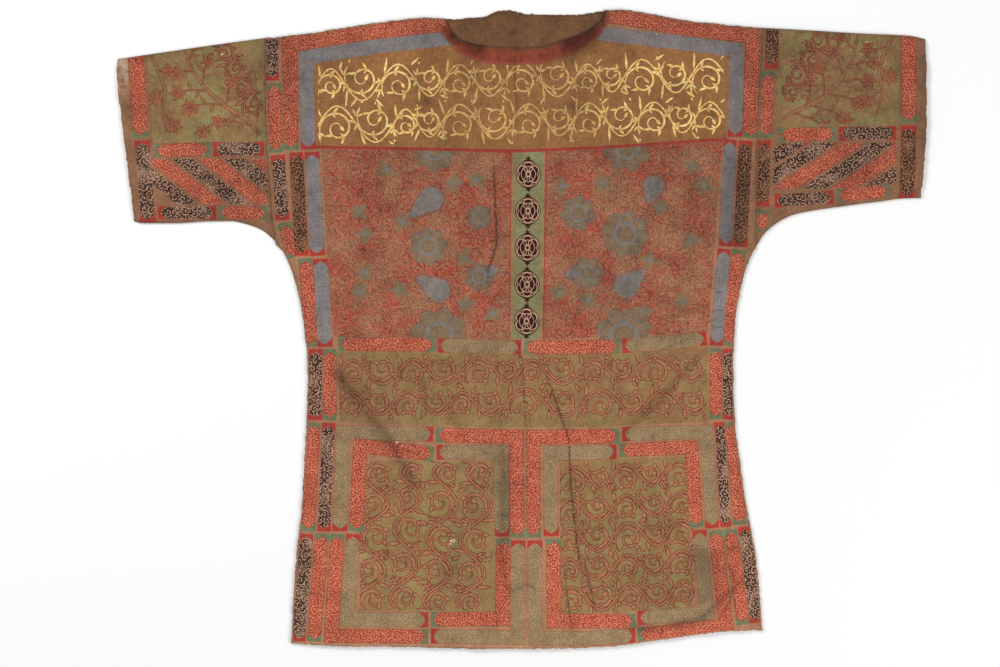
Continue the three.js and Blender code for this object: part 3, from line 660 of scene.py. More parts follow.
def dress(finish, colour_value, worn, rough=0.86, bare=None):
    """Turns a paint's colour into worn cloth: threads, blotches, rubbed paint, dirty spots, creases and
    relief, with painted shade along creases, sewn edges and armholes and a darkening towards the neck. `worn`
    is how much of the paint is rubbed off and `bare` the colour that then shows."""
    thread, thread_length = 0.0019, 4.5
    blotches = finish.noise(0.16, 3.0) - 0.5
    patches = finish.noise(0.028, 3.0, 0.4) - 0.5
    weft = finish.noise(thread, 1.0, 0.0, (thread_length, 1, 1)) - 0.5
    warp = finish.noise(thread, 1.0, 0.0, (1, thread_length, 1)) - 0.5
    grain = finish.noise(0.0016, 2.0) - 0.5
    flecks = finish.noise(0.0062, 3.0, 0.6) - 0.5
    _, up = finish.parts(finish.object_place)
    clouds = blotches * 0.6 + patches * 0.76 + flecks * 0.5
    shade = 1.0 + clouds + (weft + warp) * 0.42 + grain * 0.6 - up * SHADE_BY_HEIGHT
    rubbed = finish.noise(0.0042, 3.0, 0.3).rise(0.56, 0.72) * finish.noise(0.05, 2.0).rise(0.42, 0.62)
    painted = finish.mix(colour_value, bare or finish.colour("ground"), rubbed * worn)
    # Painted shade: the 'crease' attribute darkens the colour along creases, sewn edges and armholes.
    crease = finish.node("ShaderNodeAttribute", {"attribute_name": "crease"}, output="Fac")
    dirt = finish.noise(0.012, 3.0).rise(0.6, 0.8) * DIRT
    aged_and_shaded = finish.scaled(painted, shade * (1 - crease * CREASE_SHADE) * (1 - dirt))
    threads = (weft + warp) * 1.0 + grain * 0.5 + patches * 0.8
    bump = finish.node("ShaderNodeBump", {}, {"Strength": 0.55, "Distance": RELIEF, "Height": threads})
    roughness = rough + grain * 0.12
    return finish.shaded({
        "Base Color": aged_and_shaded, "Roughness": roughness, "Normal": bump,
        "Specular IOR Level": 0.22, "Sheen Weight": 0.08, "Sheen Roughness": 0.5,
    })


# ---- finishes ---------------------------------------------------------------------------------------

def plain_finish(name, colour_name, worn):
    """Cloth or paint of one colour."""
    finish = Finish(name)
    return dress(finish, finish.colour(colour_name), worn)


def bare_finish():
    """Cloth between the bands: brown, paler along the hem and dark red-brown along the neck edge, where it
    carries on the neck band's colour and painted shade.
    """
    finish = Finish("bare_cloth")
    sideways, up = finish.parts(finish.object_place)
    low_down = 1 - up.rise(-0.43, -0.39)
    at_neck = up.rise(0.366, 0.372) * (1 - abs(sideways - 0.005).rise(0.106, 0.114))
    tone = finish.mix(finish.colour("ground"), finish.colour("hem"), low_down)
    return dress(finish, finish.mix(tone, paint(120, 68, 48), at_neck), 0.0)


def sleeve_cloth_finish():
    """Unpainted cloth of the sleeves, faded at the upper end of the left cuff and along its edge."""
    finish = Finish("sleeve_cloth")
    sideways, up = finish.parts(finish.object_place)
    blotch = finish.noise(0.012, 2.0).rise(0.3, 0.6)
    corner = up.rise(0.3, 0.35) * (1 - sideways.rise(-0.536, -0.524))
    edge = (1 - sideways.rise(-0.5415, -0.5385)) * 0.3
    faded = (corner * 0.75).most(edge) * blotch
    return dress(finish, finish.mix(finish.colour("cuff"), paint(206, 176, 150), faded), 0.0)


def band_finish(name, ground, inks, end, cell, turns, worn):
    """A band of small coiled ornament that fills its breadth, with coloured corners at its pointed ends.
    `inks` are colour, the part of a coil's wave that it covers, from and to, and strength."""
    finish = Finish(name)
    along, across = finish.map_pair(PLACE_MAP)
    half_length, half_breadth = finish.map_pair(SIZE_MAP)
    corner, point_length = 4.0, 11.0
    to_end = half_length - abs(along)
    inner = half_breadth - 0.5
    run = ((to_end - corner) / point_length).most(0.0).least(1.0)
    point = (1 - (1 - run) ** 2.4) * inner
    inside = point - abs(across)
    wave = finish.spirals(cell, turns)
    faint = finish.noise(0.02, 2.0).rise(0.2, 0.55) * 0.45 + 0.55
    tone = finish.colour(ground)
    for ink, low, high, strength in inks:
        middle, half = (low + high) / 2, (high - low) / 2
        covered = 1 - abs(wave - middle).rise(half - 0.1, half + 0.1)
        tone = finish.mix(tone, finish.colour(ink), covered * inside.rise(0.1, 1.1) * faint * strength)
    outline = (1 - abs(inside - 0.2).rise(0.2, 0.9)) * 0.45
    lined = finish.mix(tone, finish.colour(inks[0][0]), outline)
    with_ends = finish.mix(finish.colour(end), lined, inside.rise(-0.35, 0.35))
    in_band = (half_breadth - 0.1 - abs(across)).rise(-0.3, 0.3) * to_end.rise(0.1, 0.7)
    return dress(finish, finish.mix(finish.colour("ground"), with_ends, in_band), worn)


def neck_finish():
    """The darker red band round the neck, browner towards its edge with painted shade where it turns down
    away from the light.
    """
    finish = Finish("neck_band")
    _, across = finish.map_pair(PLACE_MAP)
    clouds = finish.noise(0.014, 3.0, 0.5).rise(0.35, 0.7)
    tone = finish.mix(paint(152, 70, 50), paint(116, 54, 36), clouds * 0.7)
    # Painted shade: browner towards the neck edge, where the band turns down away from the light.
    rolled_edge_shade = across.rise(5.0, 9.5)
    line = 1 - abs(across + 9.6).rise(0.5, 1.4)
    tone = finish.mix(tone, paint(124, 76, 52), rolled_edge_shade * 0.7)
    return dress(finish, finish.mix(tone, paint(170, 108, 82), line * 0.4), 0.45, bare=finish.colour("brown"))


def chest_finish():
    """The chest: fine coiled and winding red strokes all over a tan ground."""
    finish = Finish("chest_ground")
    coils = 1 - finish.spirals(0.0098, 2.1, wobble=1.7).rise(0.26, 0.5)
    broad = finish.curls(0.019, 0.3, 5.0)
    zones = finish.noise(0.05, 2.0).rise(0.35, 0.65)
    reddish = finish.mix(finish.colour("chest"), paint(160, 98, 74), zones)
    inked = finish.mix(reddish, finish.colour("red_ink"), coils * (0.5 + zones * 0.27))
    return dress(finish, finish.mix(inked, paint(172, 62, 46), broad * (0.2 + zones * 0.45)), 0.15)


def gold_finish():
    """Gold brushwork, brighter in the middle of a stroke, with a painted highlight there for the gold's
    shine.
    """
    finish = Finish("gold_stroke")
    across, half_breadth = finish.stroke()
    middle = 1 - (abs(across) / half_breadth).rise(0.3, 1.0)
    thin = finish.noise(0.006, 2.0).rise(0.4, 0.65)
    drawn = 1 - (half_breadth - abs(across)).rise(0.15, 0.5)
    tone = finish.mix(paint(184, 126, 66), finish.colour("gold"), middle * 0.8 + 0.15)
    # Painted highlight: pale patches along the middle of the stroke stand in for the gold's shine.
    tone = finish.mix(tone, paint(255, 226, 152), middle * thin)
    rubbed = finish.noise(0.011, 2.0).rise(0.55, 0.75)
    sideways, _ = finish.parts(finish.object_place)
    faded = 1 - abs(sideways).rise(0.07, 0.16)
    tone = finish.mix(tone, paint(160, 108, 62), (rubbed * 0.4).most(faded * 0.5))
    tone = finish.mix(tone, paint(92, 56, 30), drawn * 0.8)
    return dress(finish, tone, 0.25, rough=0.55, bare=finish.colour("yoke"))


def olive_finish():
    """Ground of the waist and the squares: brown olive with greener clouds, most of them in the squares."""
    finish = Finish("olive_ground")
    clouds = finish.noise(0.045, 3.0, 0.5).rise(0.42, 0.66)
    _, up = finish.parts(finish.object_place)
    in_squares = 1 - up.rise(-0.16, -0.14)
    tone = finish.mix(finish.colour("olive"), paint(142, 124, 78), clouds * 0.5 + in_squares * 0.3)
    rusty = finish.noise(0.07, 2.0).rise(0.45, 0.7)
    return dress(finish, finish.mix(tone, paint(142, 96, 66), rusty * 0.5), 0.12)


def stroke_finish(name, body, line_width, faded):
    """A broad brush stroke with a dark outline on both sides."""
    finish = Finish(name)
    across, half_breadth = finish.stroke()
    to_edge = half_breadth - abs(across)
    outline = 1 - to_edge.rise(line_width - 0.35, line_width + 0.35)
    wobble = finish.noise(0.008, 2.0).rise(0.25, 0.6) * 0.25 + 0.75
    tone = finish.mix(finish.colour(body), finish.colour("red_ink"), outline * wobble * (1 - faded))
    return dress(finish, tone, 0.2, bare=finish.colour("olive"))


def medallion_finish():
    """A dark medallion filled with rings of tan strapwork that pass through one another."""
    finish = Finish("medallion")
    sideways, upward = finish.map_pair(PLACE_MAP)
    half_width, half_height = finish.map_pair(SIZE_MAP)
    u, v = abs(sideways / half_width), abs(upward / half_height)
    rings = ((0, 0, 0.9), (0, 0, 0.2), (0, 0.5, 0.36), (0.43, 0.25, 0.36), (0, 0, 0.56))
    straps = None
    for centre_u, centre_v, radius in rings:
        away = ((u - centre_u) ** 2.0 + (v - centre_v) ** 2.0) ** 0.5
        line = abs(away - radius)
        straps = line if straps is None else straps.least(line)
    tone = finish.mix(paint(206, 160, 132), finish.colour("black"), straps.rise(0.008, 0.04))
    return dress(finish, tone, 0.1)


def leaf_green_finish():
    """Ground of the sleeve panels."""
    finish = Finish("sleeve_ground")
    clouds = finish.noise(0.05, 3.0, 0.4).rise(0.4, 0.65)
    tone = finish.mix(paint(142, 110, 72), paint(142, 128, 82), clouds * 0.8)
    return dress(finish, tone, 0.12)


# How each paint's finish is made: a function and its arguments.
RED_INKS = [("red_ink", 0.0, 0.3, 0.8), ("reserve", 0.68, 1.0, 0.68)]
SAGE_INKS = [("olive", 0.0, 0.42, 1.0), ("pink", 0.7, 1.0, 0.55)]
BLUE_INKS = [("strip", 0.0, 0.3, 0.3), ("pink", 0.75, 1.0, 0.35)]
FINISHES = {
    "bare": (bare_finish,),
    "sleeve_cloth": (sleeve_cloth_finish,),
    "brown": (plain_finish, "brown_cloth", "brown", 0.0),
    "red": (band_finish, "red_band", "red", RED_INKS, "green", 0.0074, 2.1, 0.2),
    "black": (band_finish, "black_band", "pink", [("black", 0.0, 0.73, 1.0)], "deep_red", 0.0076, 1.9, 0.08),
    "dim_black": (band_finish, "dim_black_band", "ground", [("black", 0.0, 0.68, 0.95)], "deep_red",
                  0.0076, 1.9, 0.3),
    "sage": (band_finish, "sage_band", "sage", SAGE_INKS, "deep_red", 0.0068, 2.1, 0.35),
    "blue": (band_finish, "blue_band", "blue", BLUE_INKS, "deep_red", 0.007, 2.0, 0.3),
    "neck": (neck_finish,),
    "chest": (chest_finish,),
    "yoke": (plain_finish, "yoke_ground", "yoke", 0.12),
    "gold": (gold_finish,),
    "olive": (olive_finish,),
    "stroke": (stroke_finish, "outlined_stroke", "stroke", 1.1, 0.0),
    "branch": (stroke_finish, "branch_stroke", "branch", 1.0, 0.3),
    "blossom": (stroke_finish, "blossom_stroke", "blossom", 0.8, 0.2),
    "strip": (plain_finish, "strip_ground", "strip", 0.2),
    "medallion": (medallion_finish,),
    "ink": (plain_finish, "black_ink", "black", 0.1),
    "red_line": (plain_finish, "red_line", "neck_red", 0.3),
    "leaf_green": (leaf_green_finish,),
    "petal": (plain_finish, "petal_paint", "petal", 0.15),
    "petal_line": (plain_finish, "petal_line", "petal_line", 0.35),
    "worn": (plain_finish, "worn_spot", "worn", 0.0),
    "blue_paint": (plain_finish, "blue_paint", "drop", 0.35),
}


def finish_named(name):
    """The material of that name, made when it is first wanted."""
    tag = "finish_" + name
    for material in bpy.data.materials:
        if material.get("tag") == tag:
            return material
    make, *arguments = FINISHES[name]
    material = make(*arguments)
    material["tag"] = tag
    return material


# ---- curves and edges -------------------------------------------------------------------------------

class Edge:
    """A smooth curve through rows of (key, value) that never overshoots them."""

    SAMPLES = 40

    def __init__(self, rows):
        slopes = [(b[1] - a[1]) / (b[0] - a[0]) for a, b in zip(rows, rows[1:])]
        between = [0.0 if a * b <= 0 else 2 * a * b / (a + b) for a, b in zip(slopes, slopes[1:])]
        tangents = [slopes[0], *between, slopes[-1]]
        keys, values = [], []
        for k, (key, value) in enumerate(rows[:-1]):
            next_key, next_value = rows[k + 1]
            span = next_key - key
            for i in range(self.SAMPLES):
                t = i / self.SAMPLES
                rest = 1 - t
                keys.append(key + span * t)
                values.append(
                    value * rest * rest * (1 + 2 * t) + next_value * t * t * (3 - 2 * t)
                    + span * (tangents[k] * t * rest * rest - tangents[k + 1] * t * t * rest))
        self.keys = np.array(keys + [rows[-1][0]])
        self.values = np.array(values + [rows[-1][1]])

    def at(self, key):
        """The value for a key, or for an array of keys."""
        return np.interp(key, self.keys, self.values)


def soft(t):
    """0 to 1 with a soft start and end."""
    t = np.clip(t, 0, 1)
    return t * t * (3 - 2 * t)


class SeamEdge:
    """An armhole seam: x for a height, on a slightly bowed line."""

    def __init__(self, armhole, shift):
        self.armhole = armhole
        self.shift = shift

    def at(self, y):
        top, under, bow = self.armhole
        t = np.clip((y - under[1]) / (top[1] - under[1]), 0, 1)
        return under[0] + (top[0] - under[0]) * t + bow * 4 * t * (1 - t) + self.shift


class BodySide:
    """A side edge of the body: the side below the arm and the armhole seam above it."""

    def __init__(self, rows, armhole, shift):
        self.side = Edge(rows)
        self.seam = SeamEdge(armhole, shift)
        self.armhole = armhole
        self.shift = shift

    def at(self, y):
        under_x, under_y = self.armhole.under
        closing = soft((y - UNDERARM_BEND) / (under_y - UNDERARM_BEND))
        low = self.side.at(y) * (1 - closing) + under_x * closing + self.shift
        return np.where(y > under_y, self.seam.at(y), low)


class Cut:
    """The outline of one flat piece. `edges` are its left, right, lower and upper edge: x for a height, or
    a height for an x. `spans` are where each of them starts and ends. `sewn` names the edges where the
    folds die out. A piece with an even neck is painted to the edge of its neck."""

    MARGIN = 0.9             # how far inside the outline painted shapes stay

    def __init__(self, edges, spans, sewn, even_neck=False):
        self.left, self.right, self.low, self.high = edges
        self.left_span, self.right_span, self.low_span, self.high_span = spans
        self.sewn = sewn
        self.even_neck = even_neck
        self.fray = in_mm("fray") if "low" not in sewn else 0.0

    @staticmethod
    def open_below(y):
        """1 along the body's open sides, 0 along the armholes above them."""
        clear, fade = 8, 12
        return soft((RIGHT_ARMHOLE.under[1] - clear - y) / fade)

    def worn_above(self, x):
        """0 along a neck that is painted to its edge, 1 along the rest of the upper edge."""
        fade = 8
        return soft(max(NECK_LEFT - x, x - NECK_RIGHT) / fade) if self.even_neck else 1.0

    def ring(self, step):
        """Points round the outline, against the clock, about a step apart. The four sides in turn."""
        def spread(span, edge, upright, corners=()):
            stops = [span[0], *corners, span[1]]
            keys = []
            for a, b in zip(stops, stops[1:]):
                count = max(2, round(abs(b - a) / step))
                keys += [a + (b - a) * i / count for i in range(count)]
            return [(float(edge.at(k)), k) if upright else (k, float(edge.at(k))) for k in keys]
        return [
            spread(self.low_span, self.low, False),
            spread(self.right_span, self.right, True),
            spread(self.high_span[::-1], self.high, False,
                   [x for x in (NECK_RIGHT, NECK_LEFT) if self.high_span[0] < x < self.high_span[1]]),
            spread(self.left_span[::-1], self.left, True),
        ]

    def distance(self, x, y):
        """Way to the nearest sewn edge, in millimetres."""
        ways = {"left": x - self.left.at(y), "right": self.right.at(y) - x,
                "low": y - self.low.at(x), "high": self.high.at(x) - y}
        return np.minimum.reduce([ways[name] for name in self.sewn])

    def kept_inside(self, x, y):
        """The point itself, or the nearest place inside the outline and its worn edge."""
        margin = self.MARGIN + self.fray
        y = min(max(y, float(self.low.at(x)) + margin), float(self.high.at(x)) - margin)
        side_margin = self.MARGIN + self.fray * float(self.open_below(y))
        x = min(max(x, float(self.left.at(y)) + side_margin), float(self.right.at(y)) - side_margin)
        return x, min(max(y, float(self.low.at(x)) + margin), float(self.high.at(x)) - margin)

    def holds(self, x, y, margin):
        """True for a point that lies inside the outline by more than a margin."""
        return (self.left.at(y) + margin < x < self.right.at(y) - margin
                and self.low.at(x) + margin < y < self.high.at(x) - margin)


def body_cut(neck):
    """The outline of the front or the back, with half a seam gap taken off along the armholes."""
    half_gap = in_mm("seam_gap") / 2
    edges = (BodySide(LEFT_SIDE, LEFT_ARMHOLE, half_gap), BodySide(RIGHT_SIDE, RIGHT_ARMHOLE, -half_gap),
             Edge(HEM), Edge(LEFT_SHOULDER[:-1] + neck + RIGHT_SHOULDER[1:]))
    spans = ((HEM[0][1], LEFT_ARMHOLE.top[1]), (HEM[-1][1], RIGHT_ARMHOLE.top[1]),
             (HEM[0][0] + half_gap, HEM[-1][0] - half_gap),
             (LEFT_ARMHOLE.top[0] + half_gap, RIGHT_ARMHOLE.top[0] - half_gap))
    return Cut(edges, spans, ("left", "right", "high"), even_neck=neck is FRONT_NECK)


def sleeve_cut(sleeve):
    """The outline of a sleeve as it lies: cuff, fold, armhole and underarm seam, with half a seam gap
    taken off along the armhole."""
    at_right = sleeve.armhole_side == "right"
    shift = in_mm("seam_gap") / 2 * (-1 if at_right else 1)
    uprights = [(Edge(sleeve.cuff), (sleeve.cuff[0][0], sleeve.cuff[-1][0])),
                (SeamEdge(sleeve.armhole, shift), (sleeve.armhole.under[1], sleeve.armhole.top[1]))]
    (left, left_span), (right, right_span) = uprights if at_right else uprights[::-1]

    def span_of(rows):
        start, end = rows[0][0], rows[-1][0]
        return (start, end + shift) if at_right else (start + shift, end)

    return Cut((left, right, Edge(sleeve.under), Edge(sleeve.top)),
               (left_span, right_span, span_of(sleeve.under), span_of(sleeve.top)),
               ("low", "high", sleeve.armhole_side))


# ---- heights of the upper cloth ---------------------------------------------------------------------

END_SHARE = 4                # a fold's height rises over one part in so many at each of its ends
CREASE_END_SHARE = 5
# On both sides of a crease the cloth dips: how deep, how far from it and how widely, in its own measures.
TROUGH_DEPTH, TROUGH_PLACE, TROUGH_WIDTH = 0.35, 1.9, 0.8


def fold_height(fold, x, y):
    """Height of one soft fold, for arrays of places."""
    (x0, y0), (x1, y1) = fold.start, fold.end
    dx, dy = x1 - x0, y1 - y0
    span = math.hypot(dx, dy)
    px, py = x - x0, y - y0
    t = (px * dx + py * dy) / (span * span)
    across = (py * dx - px * dy) / span - fold.bow * 4 * t * (1 - t)
    ends = soft(t * END_SHARE) * soft((1 - t) * END_SHARE)
    return fold.rise * np.exp(-((across / fold.width) ** 2)) * ends


def crease_profile(crease, x, y):
    """1 on a crease's line, falling to 0 at its sides and its ends, and the way across in breadths."""
    spans = [math.dist(a, b) for a, b in zip(crease.route, crease.route[1:])]
    total = sum(spans)
    nearest = np.full(len(x), 1e9)
    place = np.zeros(len(x))
    done = 0.0
    for (x0, y0), (x1, y1), span in zip(crease.route, crease.route[1:], spans):
        t = np.clip(((x - x0) * (x1 - x0) + (y - y0) * (y1 - y0)) / span ** 2, 0, 1)
        way = np.hypot(x - x0 - t * (x1 - x0), y - y0 - t * (y1 - y0))
        closer = way < nearest
        nearest = np.where(closer, way, nearest)
        place = np.where(closer, (done + t * span) / total, place)
        done += span
    ends = soft(place * CREASE_END_SHARE) * soft((1 - place) * CREASE_END_SHARE)
    return ends, nearest / crease.width


def fold_heights(cut, points):
    """Height of the cloth's soft folds over its lowest place, for an array of points in millimetres."""
    x, y = points[:, 0], points[:, 1]
    raw = in_mm("loft") + sum(fold_height(fold, x, y) for fold in FOLDS)
    limit = in_mm("lift_limit")
    fade = soft(cut.distance(x, y) / in_mm("fade_width"))
    return limit * np.tanh(np.maximum(raw, 0) / limit) * fade


def upper_heights(cut, points):
    """Height of the upper side of the cloth: its folds with the creases and the crumples on top."""
    x, y = points[:, 0], points[:, 1]
    relief = np.zeros(len(points))
    for crease in CREASES:
        ends, ways = crease_profile(crease, x, y)
        trough = TROUGH_DEPTH * np.exp(-(((ways - TROUGH_PLACE) / TROUGH_WIDTH) ** 2))
        relief = relief + crease.rise * ends * (np.exp(-(ways ** 2)) - trough)
    broad, fine, fine_share = 34, 11, 0.4
    small = np.array([noise.noise(Vector((px / broad, py / broad, 3.7)))
                      + fine_share * noise.noise(Vector((px / fine, py / fine, 8.1))) for px, py in points])
    fade = soft(cut.distance(x, y) / in_mm("fade_width"))
    lifted, by_seams = 0.55, 0.25
    relief = relief * fade + in_mm("crumple") * (small + lifted) * (by_seams + (1 - by_seams) * fade)
    return fold_heights(cut, points) + np.maximum(0.0, relief)


def hump(way, reach, power=2):
    """1 at no distance, falling to nearly 0 at twice the reach."""
    return np.exp(-((way / reach) ** power))


def painted_shade(cut, points, creases):
    """How much painted shade darkens the cloth along creases, sewn edges and armholes, from 0 to 1."""
    x, y = points[:, 0], points[:, 1]
    seam_dark, seam_reach = 0.22, 4.5
    line_dark, line_reach, line_power = 0.18, 6, 1.5
    shade_dark, shade_reach = 0.1, 46
    drop_below, fade = 50, 60
    dark = seam_dark * hump(cut.distance(x, y), seam_reach)
    for crease in creases:
        ends, ways = crease_profile(crease, x, y)
        dark = np.maximum(dark, crease.dark * ends * hump(ways, crease.line))
    for armhole in (LEFT_ARMHOLE, RIGHT_ARMHOLE):
        way = np.abs(x - SeamEdge(armhole, 0).at(y))
        above = soft((y - armhole.under[1] + drop_below) / fade)
        shade = line_dark * hump(way, line_reach, line_power) + shade_dark * hump(way, shade_reach)
        dark = np.maximum(dark, shade * above)
    return dark


# ---- painted shapes ---------------------------------------------------------------------------------

# A shape's frame: its origin and heading, how far along its stroke it starts, half the stroke's length, half
# its breadth at both ends of the shape and the shape's length.
Shape = namedtuple("Shape", "paint corners origin heading along half_length breadths span")

LEAST_AREA = 0.02            # smaller shapes are left out
BAND_PIECE = 14              # length of one piece of a band, longer than a mitred corner
FRONT_FIELD_STEP, SLEEVE_FIELD_STEP, LINE_STEP, STRIPE_STEP, BRANCH_STEP = 14, 10, 12, 4, 6


class Painting:
    """The painted shapes of one piece, in the order in which they were drawn."""

    def __init__(self, cut):
        self.cut = cut
        self.shapes = []
        self.box = None

    def kept(self, x, y):
        """The point itself, or the nearest place inside the box that is painted and the piece."""
        if self.box:
            (low_x, low_y), (high_x, high_y) = self.box
            x, y = min(max(x, low_x), high_x), min(max(y, low_y), high_y)
        return self.cut.kept_inside(x, y)

    def add(self, paint_name, corners, **place):
        """Adds a shape, against the clock and kept inside the piece, unless nothing of it is left."""
        kept = [self.kept(*corner) for corner in corners]
        area = 0.5 * sum(a[0] * b[1] - b[0] * a[1] for a, b in zip(kept, kept[1:] + kept[:1]))
        if abs(area) < LEAST_AREA:
            return
        if area < 0:
            kept.reverse()
        if len(kept) == 4 and crosses_itself(kept):
            return
        self.shapes.append(Shape(paint_name, kept, **place))

    def area(self, paint_name, corners, centre=(0, 0), half_size=(1, 1)):
        """A filled shape that isn't a stroke."""
        self.add(paint_name, corners, origin=centre, heading=(1, 0), along=0.0,
                 half_length=half_size[0], breadths=(half_size[1], half_size[1]), span=1.0)

    def field(self, field, step):
        """A field of one paint, with points along its sides."""
        self.area(field.paint, subdivided(field.corners + field.corners[:1], step)[:-1])

    def worn_spots(self, low_x, high_x):
        """The places between two x where the paint has come off."""
        for x, y, half_width, half_height in WORN_SPOTS:
            if low_x < x < high_x:
                self.area("worn", uneven_spot(x, y, half_width, half_height))

    def ribbon(self, paint_name, route, breadths, closed=False):
        """A stroke along a route. `breadths` is half its breadth, one number or one for each point."""
        if closed:
            route = route + route[:1]
        if not isinstance(breadths, (list, tuple)):
            breadths = [breadths] * len(route)
        sides = [offset_point(route, k, breadths[k], closed) for k in range(len(route))]
        spans = [math.dist(a, b) for a, b in zip(route, route[1:])]
        half_length = sum(spans) / 2
        along = -half_length
        for k, span in enumerate(spans):
            if span > 1e-6:
                (left, right), (next_left, next_right) = sides[k], sides[k + 1]
                heading = ((route[k + 1][0] - route[k][0]) / span, (route[k + 1][1] - route[k][1]) / span)
                self.add(paint_name, [right, next_right, next_left, left], origin=route[k],
                         heading=heading, along=along, half_length=half_length,
                         breadths=(breadths[k], breadths[k + 1]), span=span)
            along += span

    def bands(self, bands):
        """Bands in pieces that are longer than their breadth is at a mitred corner."""
        for band in gaps_closed(bands):
            self.ribbon(band.paint, subdivided(band.route, BAND_PIECE, int), band.breadth / 2)


def gaps_closed(bands):
    """The bands, each lengthened where its end faces another's, until a thin bare line is left."""
    bare_line, farthest, farthest_aside, opposite_way = 3.0, 20.0, 9, -0.8

    def ends(band):
        return [(0, band.route[0], band.route[1]), (-1, band.route[-1], band.route[-2])]

    def outwards(tip, neighbour):
        span = math.dist(tip, neighbour)
        return (tip[0] - neighbour[0]) / span, (tip[1] - neighbour[1]) / span

    closed = []
    for band in bands:
        route = list(band.route)
        for index, tip, neighbour in ends(band):
            ahead_x, ahead_y = outwards(tip, neighbour)
            best = None
            for other in bands:
                for _, other_tip, other_neighbour in ends(other):
                    dx, dy = other_tip[0] - tip[0], other_tip[1] - tip[1]
                    gap = dx * ahead_x + dy * ahead_y
                    aside = abs(dx * ahead_y - dy * ahead_x)
                    facing = outwards(other_tip, other_neighbour)
                    opposite = facing[0] * ahead_x + facing[1] * ahead_y < opposite_way
                    near = bare_line < gap < farthest and aside < farthest_aside
                    if other is not band and opposite and near:
                        best = gap if best is None else min(best, gap)
            if best is not None:
                reach = (best - bare_line) / 2
                route[index] = (tip[0] + ahead_x * reach, tip[1] + ahead_y * reach)
        closed.append(Band(band.paint, band.breadth, route))
    return closed


def crosses_itself(quad):
    """True for a four-sided shape with crossing sides."""
    def side(a, b, c):
        return (b[0] - a[0]) * (c[1] - a[1]) - (b[1] - a[1]) * (c[0] - a[0])
    a, b, c, d = quad
    return (side(a, b, c) * side(a, b, d) < 0 and side(c, d, a) * side(c, d, b) < 0) or (
        side(b, c, d) * side(b, c, a) < 0 and side(d, a, b) * side(d, a, c) < 0)


def offset_point(route, k, breadth, closed):
    """The points to the left and the right of a route's point, mitred where it turns."""
    last = len(route) - 1
    before = route[k - 1] if k > 0 else (route[last - 1] if closed else None)
    after = route[k + 1] if k < last else (route[1] if closed else None)
    here = route[k]

    def normal(a, b):
        span = math.dist(a, b) or 1.0
        return (-(b[1] - a[1]) / span, (b[0] - a[0]) / span)

    if before is None:
        nx, ny = normal(here, after)
    elif after is None:
        nx, ny = normal(before, here)
    else:
        (ax, ay), (bx, by) = normal(before, here), normal(here, after)
        nx, ny = ax + bx, ay + by
        size = math.hypot(nx, ny) or 1.0
        nx, ny = nx / size, ny / size
        sharpest = 0.6        # a sharper corner is not drawn out any further
        reach = 1 / max(sharpest, nx * ax + ny * ay)
        nx, ny = nx * reach, ny * reach
    return ((here[0] + nx * breadth, here[1] + ny * breadth),
            (here[0] - nx * breadth, here[1] - ny * breadth))


def subdivided(route, step, whole=math.ceil):
    """The same route with points about a step apart, and no further where `whole` rounds up."""
    points = [route[0]]
    for a, b in zip(route, route[1:]):
        count = max(1, whole(math.dist(a, b) / step))
        points += [(a[0] + (b[0] - a[0]) * i / count, a[1] + (b[1] - a[1]) * i / count)
                   for i in range(1, count + 1)]
    return points


def heading_of(start, end):
    """The direction from one point to another in degrees."""
    return math.degrees(math.atan2(end[1] - start[1], end[0] - start[0]))


def angles(count):
    """As many directions, spread evenly over a full turn."""
    return [2 * math.pi * k / count for k in range(count)]


def round_about(x, y, angle, reach_x, reach_y):
    """A point on an oval round x, y."""
    return x + reach_x * math.cos(angle), y + reach_y * math.sin(angle)


def tendril(x, y, heading, reach, bend_start, bend_end, steps=14):
    """A route from x, y that starts at a heading in degrees and bends more and more: the bends are
    degrees for each millimetre at its start and its end."""
    route = [(x, y)]
    angle = math.radians(heading)
    stride = reach / steps
    for k in range(steps):
        bend = bend_start + (bend_end - bend_start) * (k + 0.5) / steps
        angle += math.radians(bend) * stride
        x, y = x + math.cos(angle) * stride, y + math.sin(angle) * stride
        route.append((x, y))
    return route


def swelling(count, thin, thick, where=0.4):
    """Half breadths of a brush stroke that swells from thin to thick and thins out again."""
    widths = []
    for k in range(count):
        t = k / (count - 1)
        part = t / where if t < where else (1 - t) / (1 - where)
        widths.append(thin + (thick - thin) * math.sin(part * math.pi / 2) ** 1.3)
    return widths


def leaf(painting, paint_name, x, y, heading, reach, breadth, bend):
    """A pointed leaf that starts at x, y."""
    route = tendril(x, y, heading, reach, bend, -bend, 7)
    painting.ribbon(paint_name, route, swelling(len(route), 0.25, breadth, 0.45))


def scroll(painting, paint_name, x, y, radius, start, hand, breadth):
    """A vine that winds inwards round x, y with leaves along its outside and a bud at its end. `start` is
    the direction in degrees in which it begins and `hand` is 1 or -1."""
    turns, steps = 1.45, 30
    route = []
    for k in range(steps + 1):
        t = k / steps
        angle = math.radians(start) + hand * t * turns * 2 * math.pi
        reach = radius * (1 - 0.8 * t ** 0.85)
        route.append(round_about(x, y, angle, reach, reach))
    painting.ribbon(paint_name, route, swelling(len(route), breadth * 0.45, breadth, 0.3))
    leaves = 5
    for k in range(leaves):
        index = int((k + 0.6) / (leaves + 2.2) * steps)
        foot = route[index]
        heading = heading_of(foot, route[index + 1])
        leaf(painting, paint_name, *foot, heading - hand * 50, radius * 0.5, breadth * 1.2, hand * 1.4)
        if k % 2:
            leaf(painting, paint_name, *foot, heading + hand * 60, radius * 0.3, breadth * 0.9, -hand * 2)
    end_heading = heading_of(route[-2], route[-1])
    leaf(painting, paint_name, *route[-1], end_heading, radius * 0.42, breadth * 1.5, hand * 2)


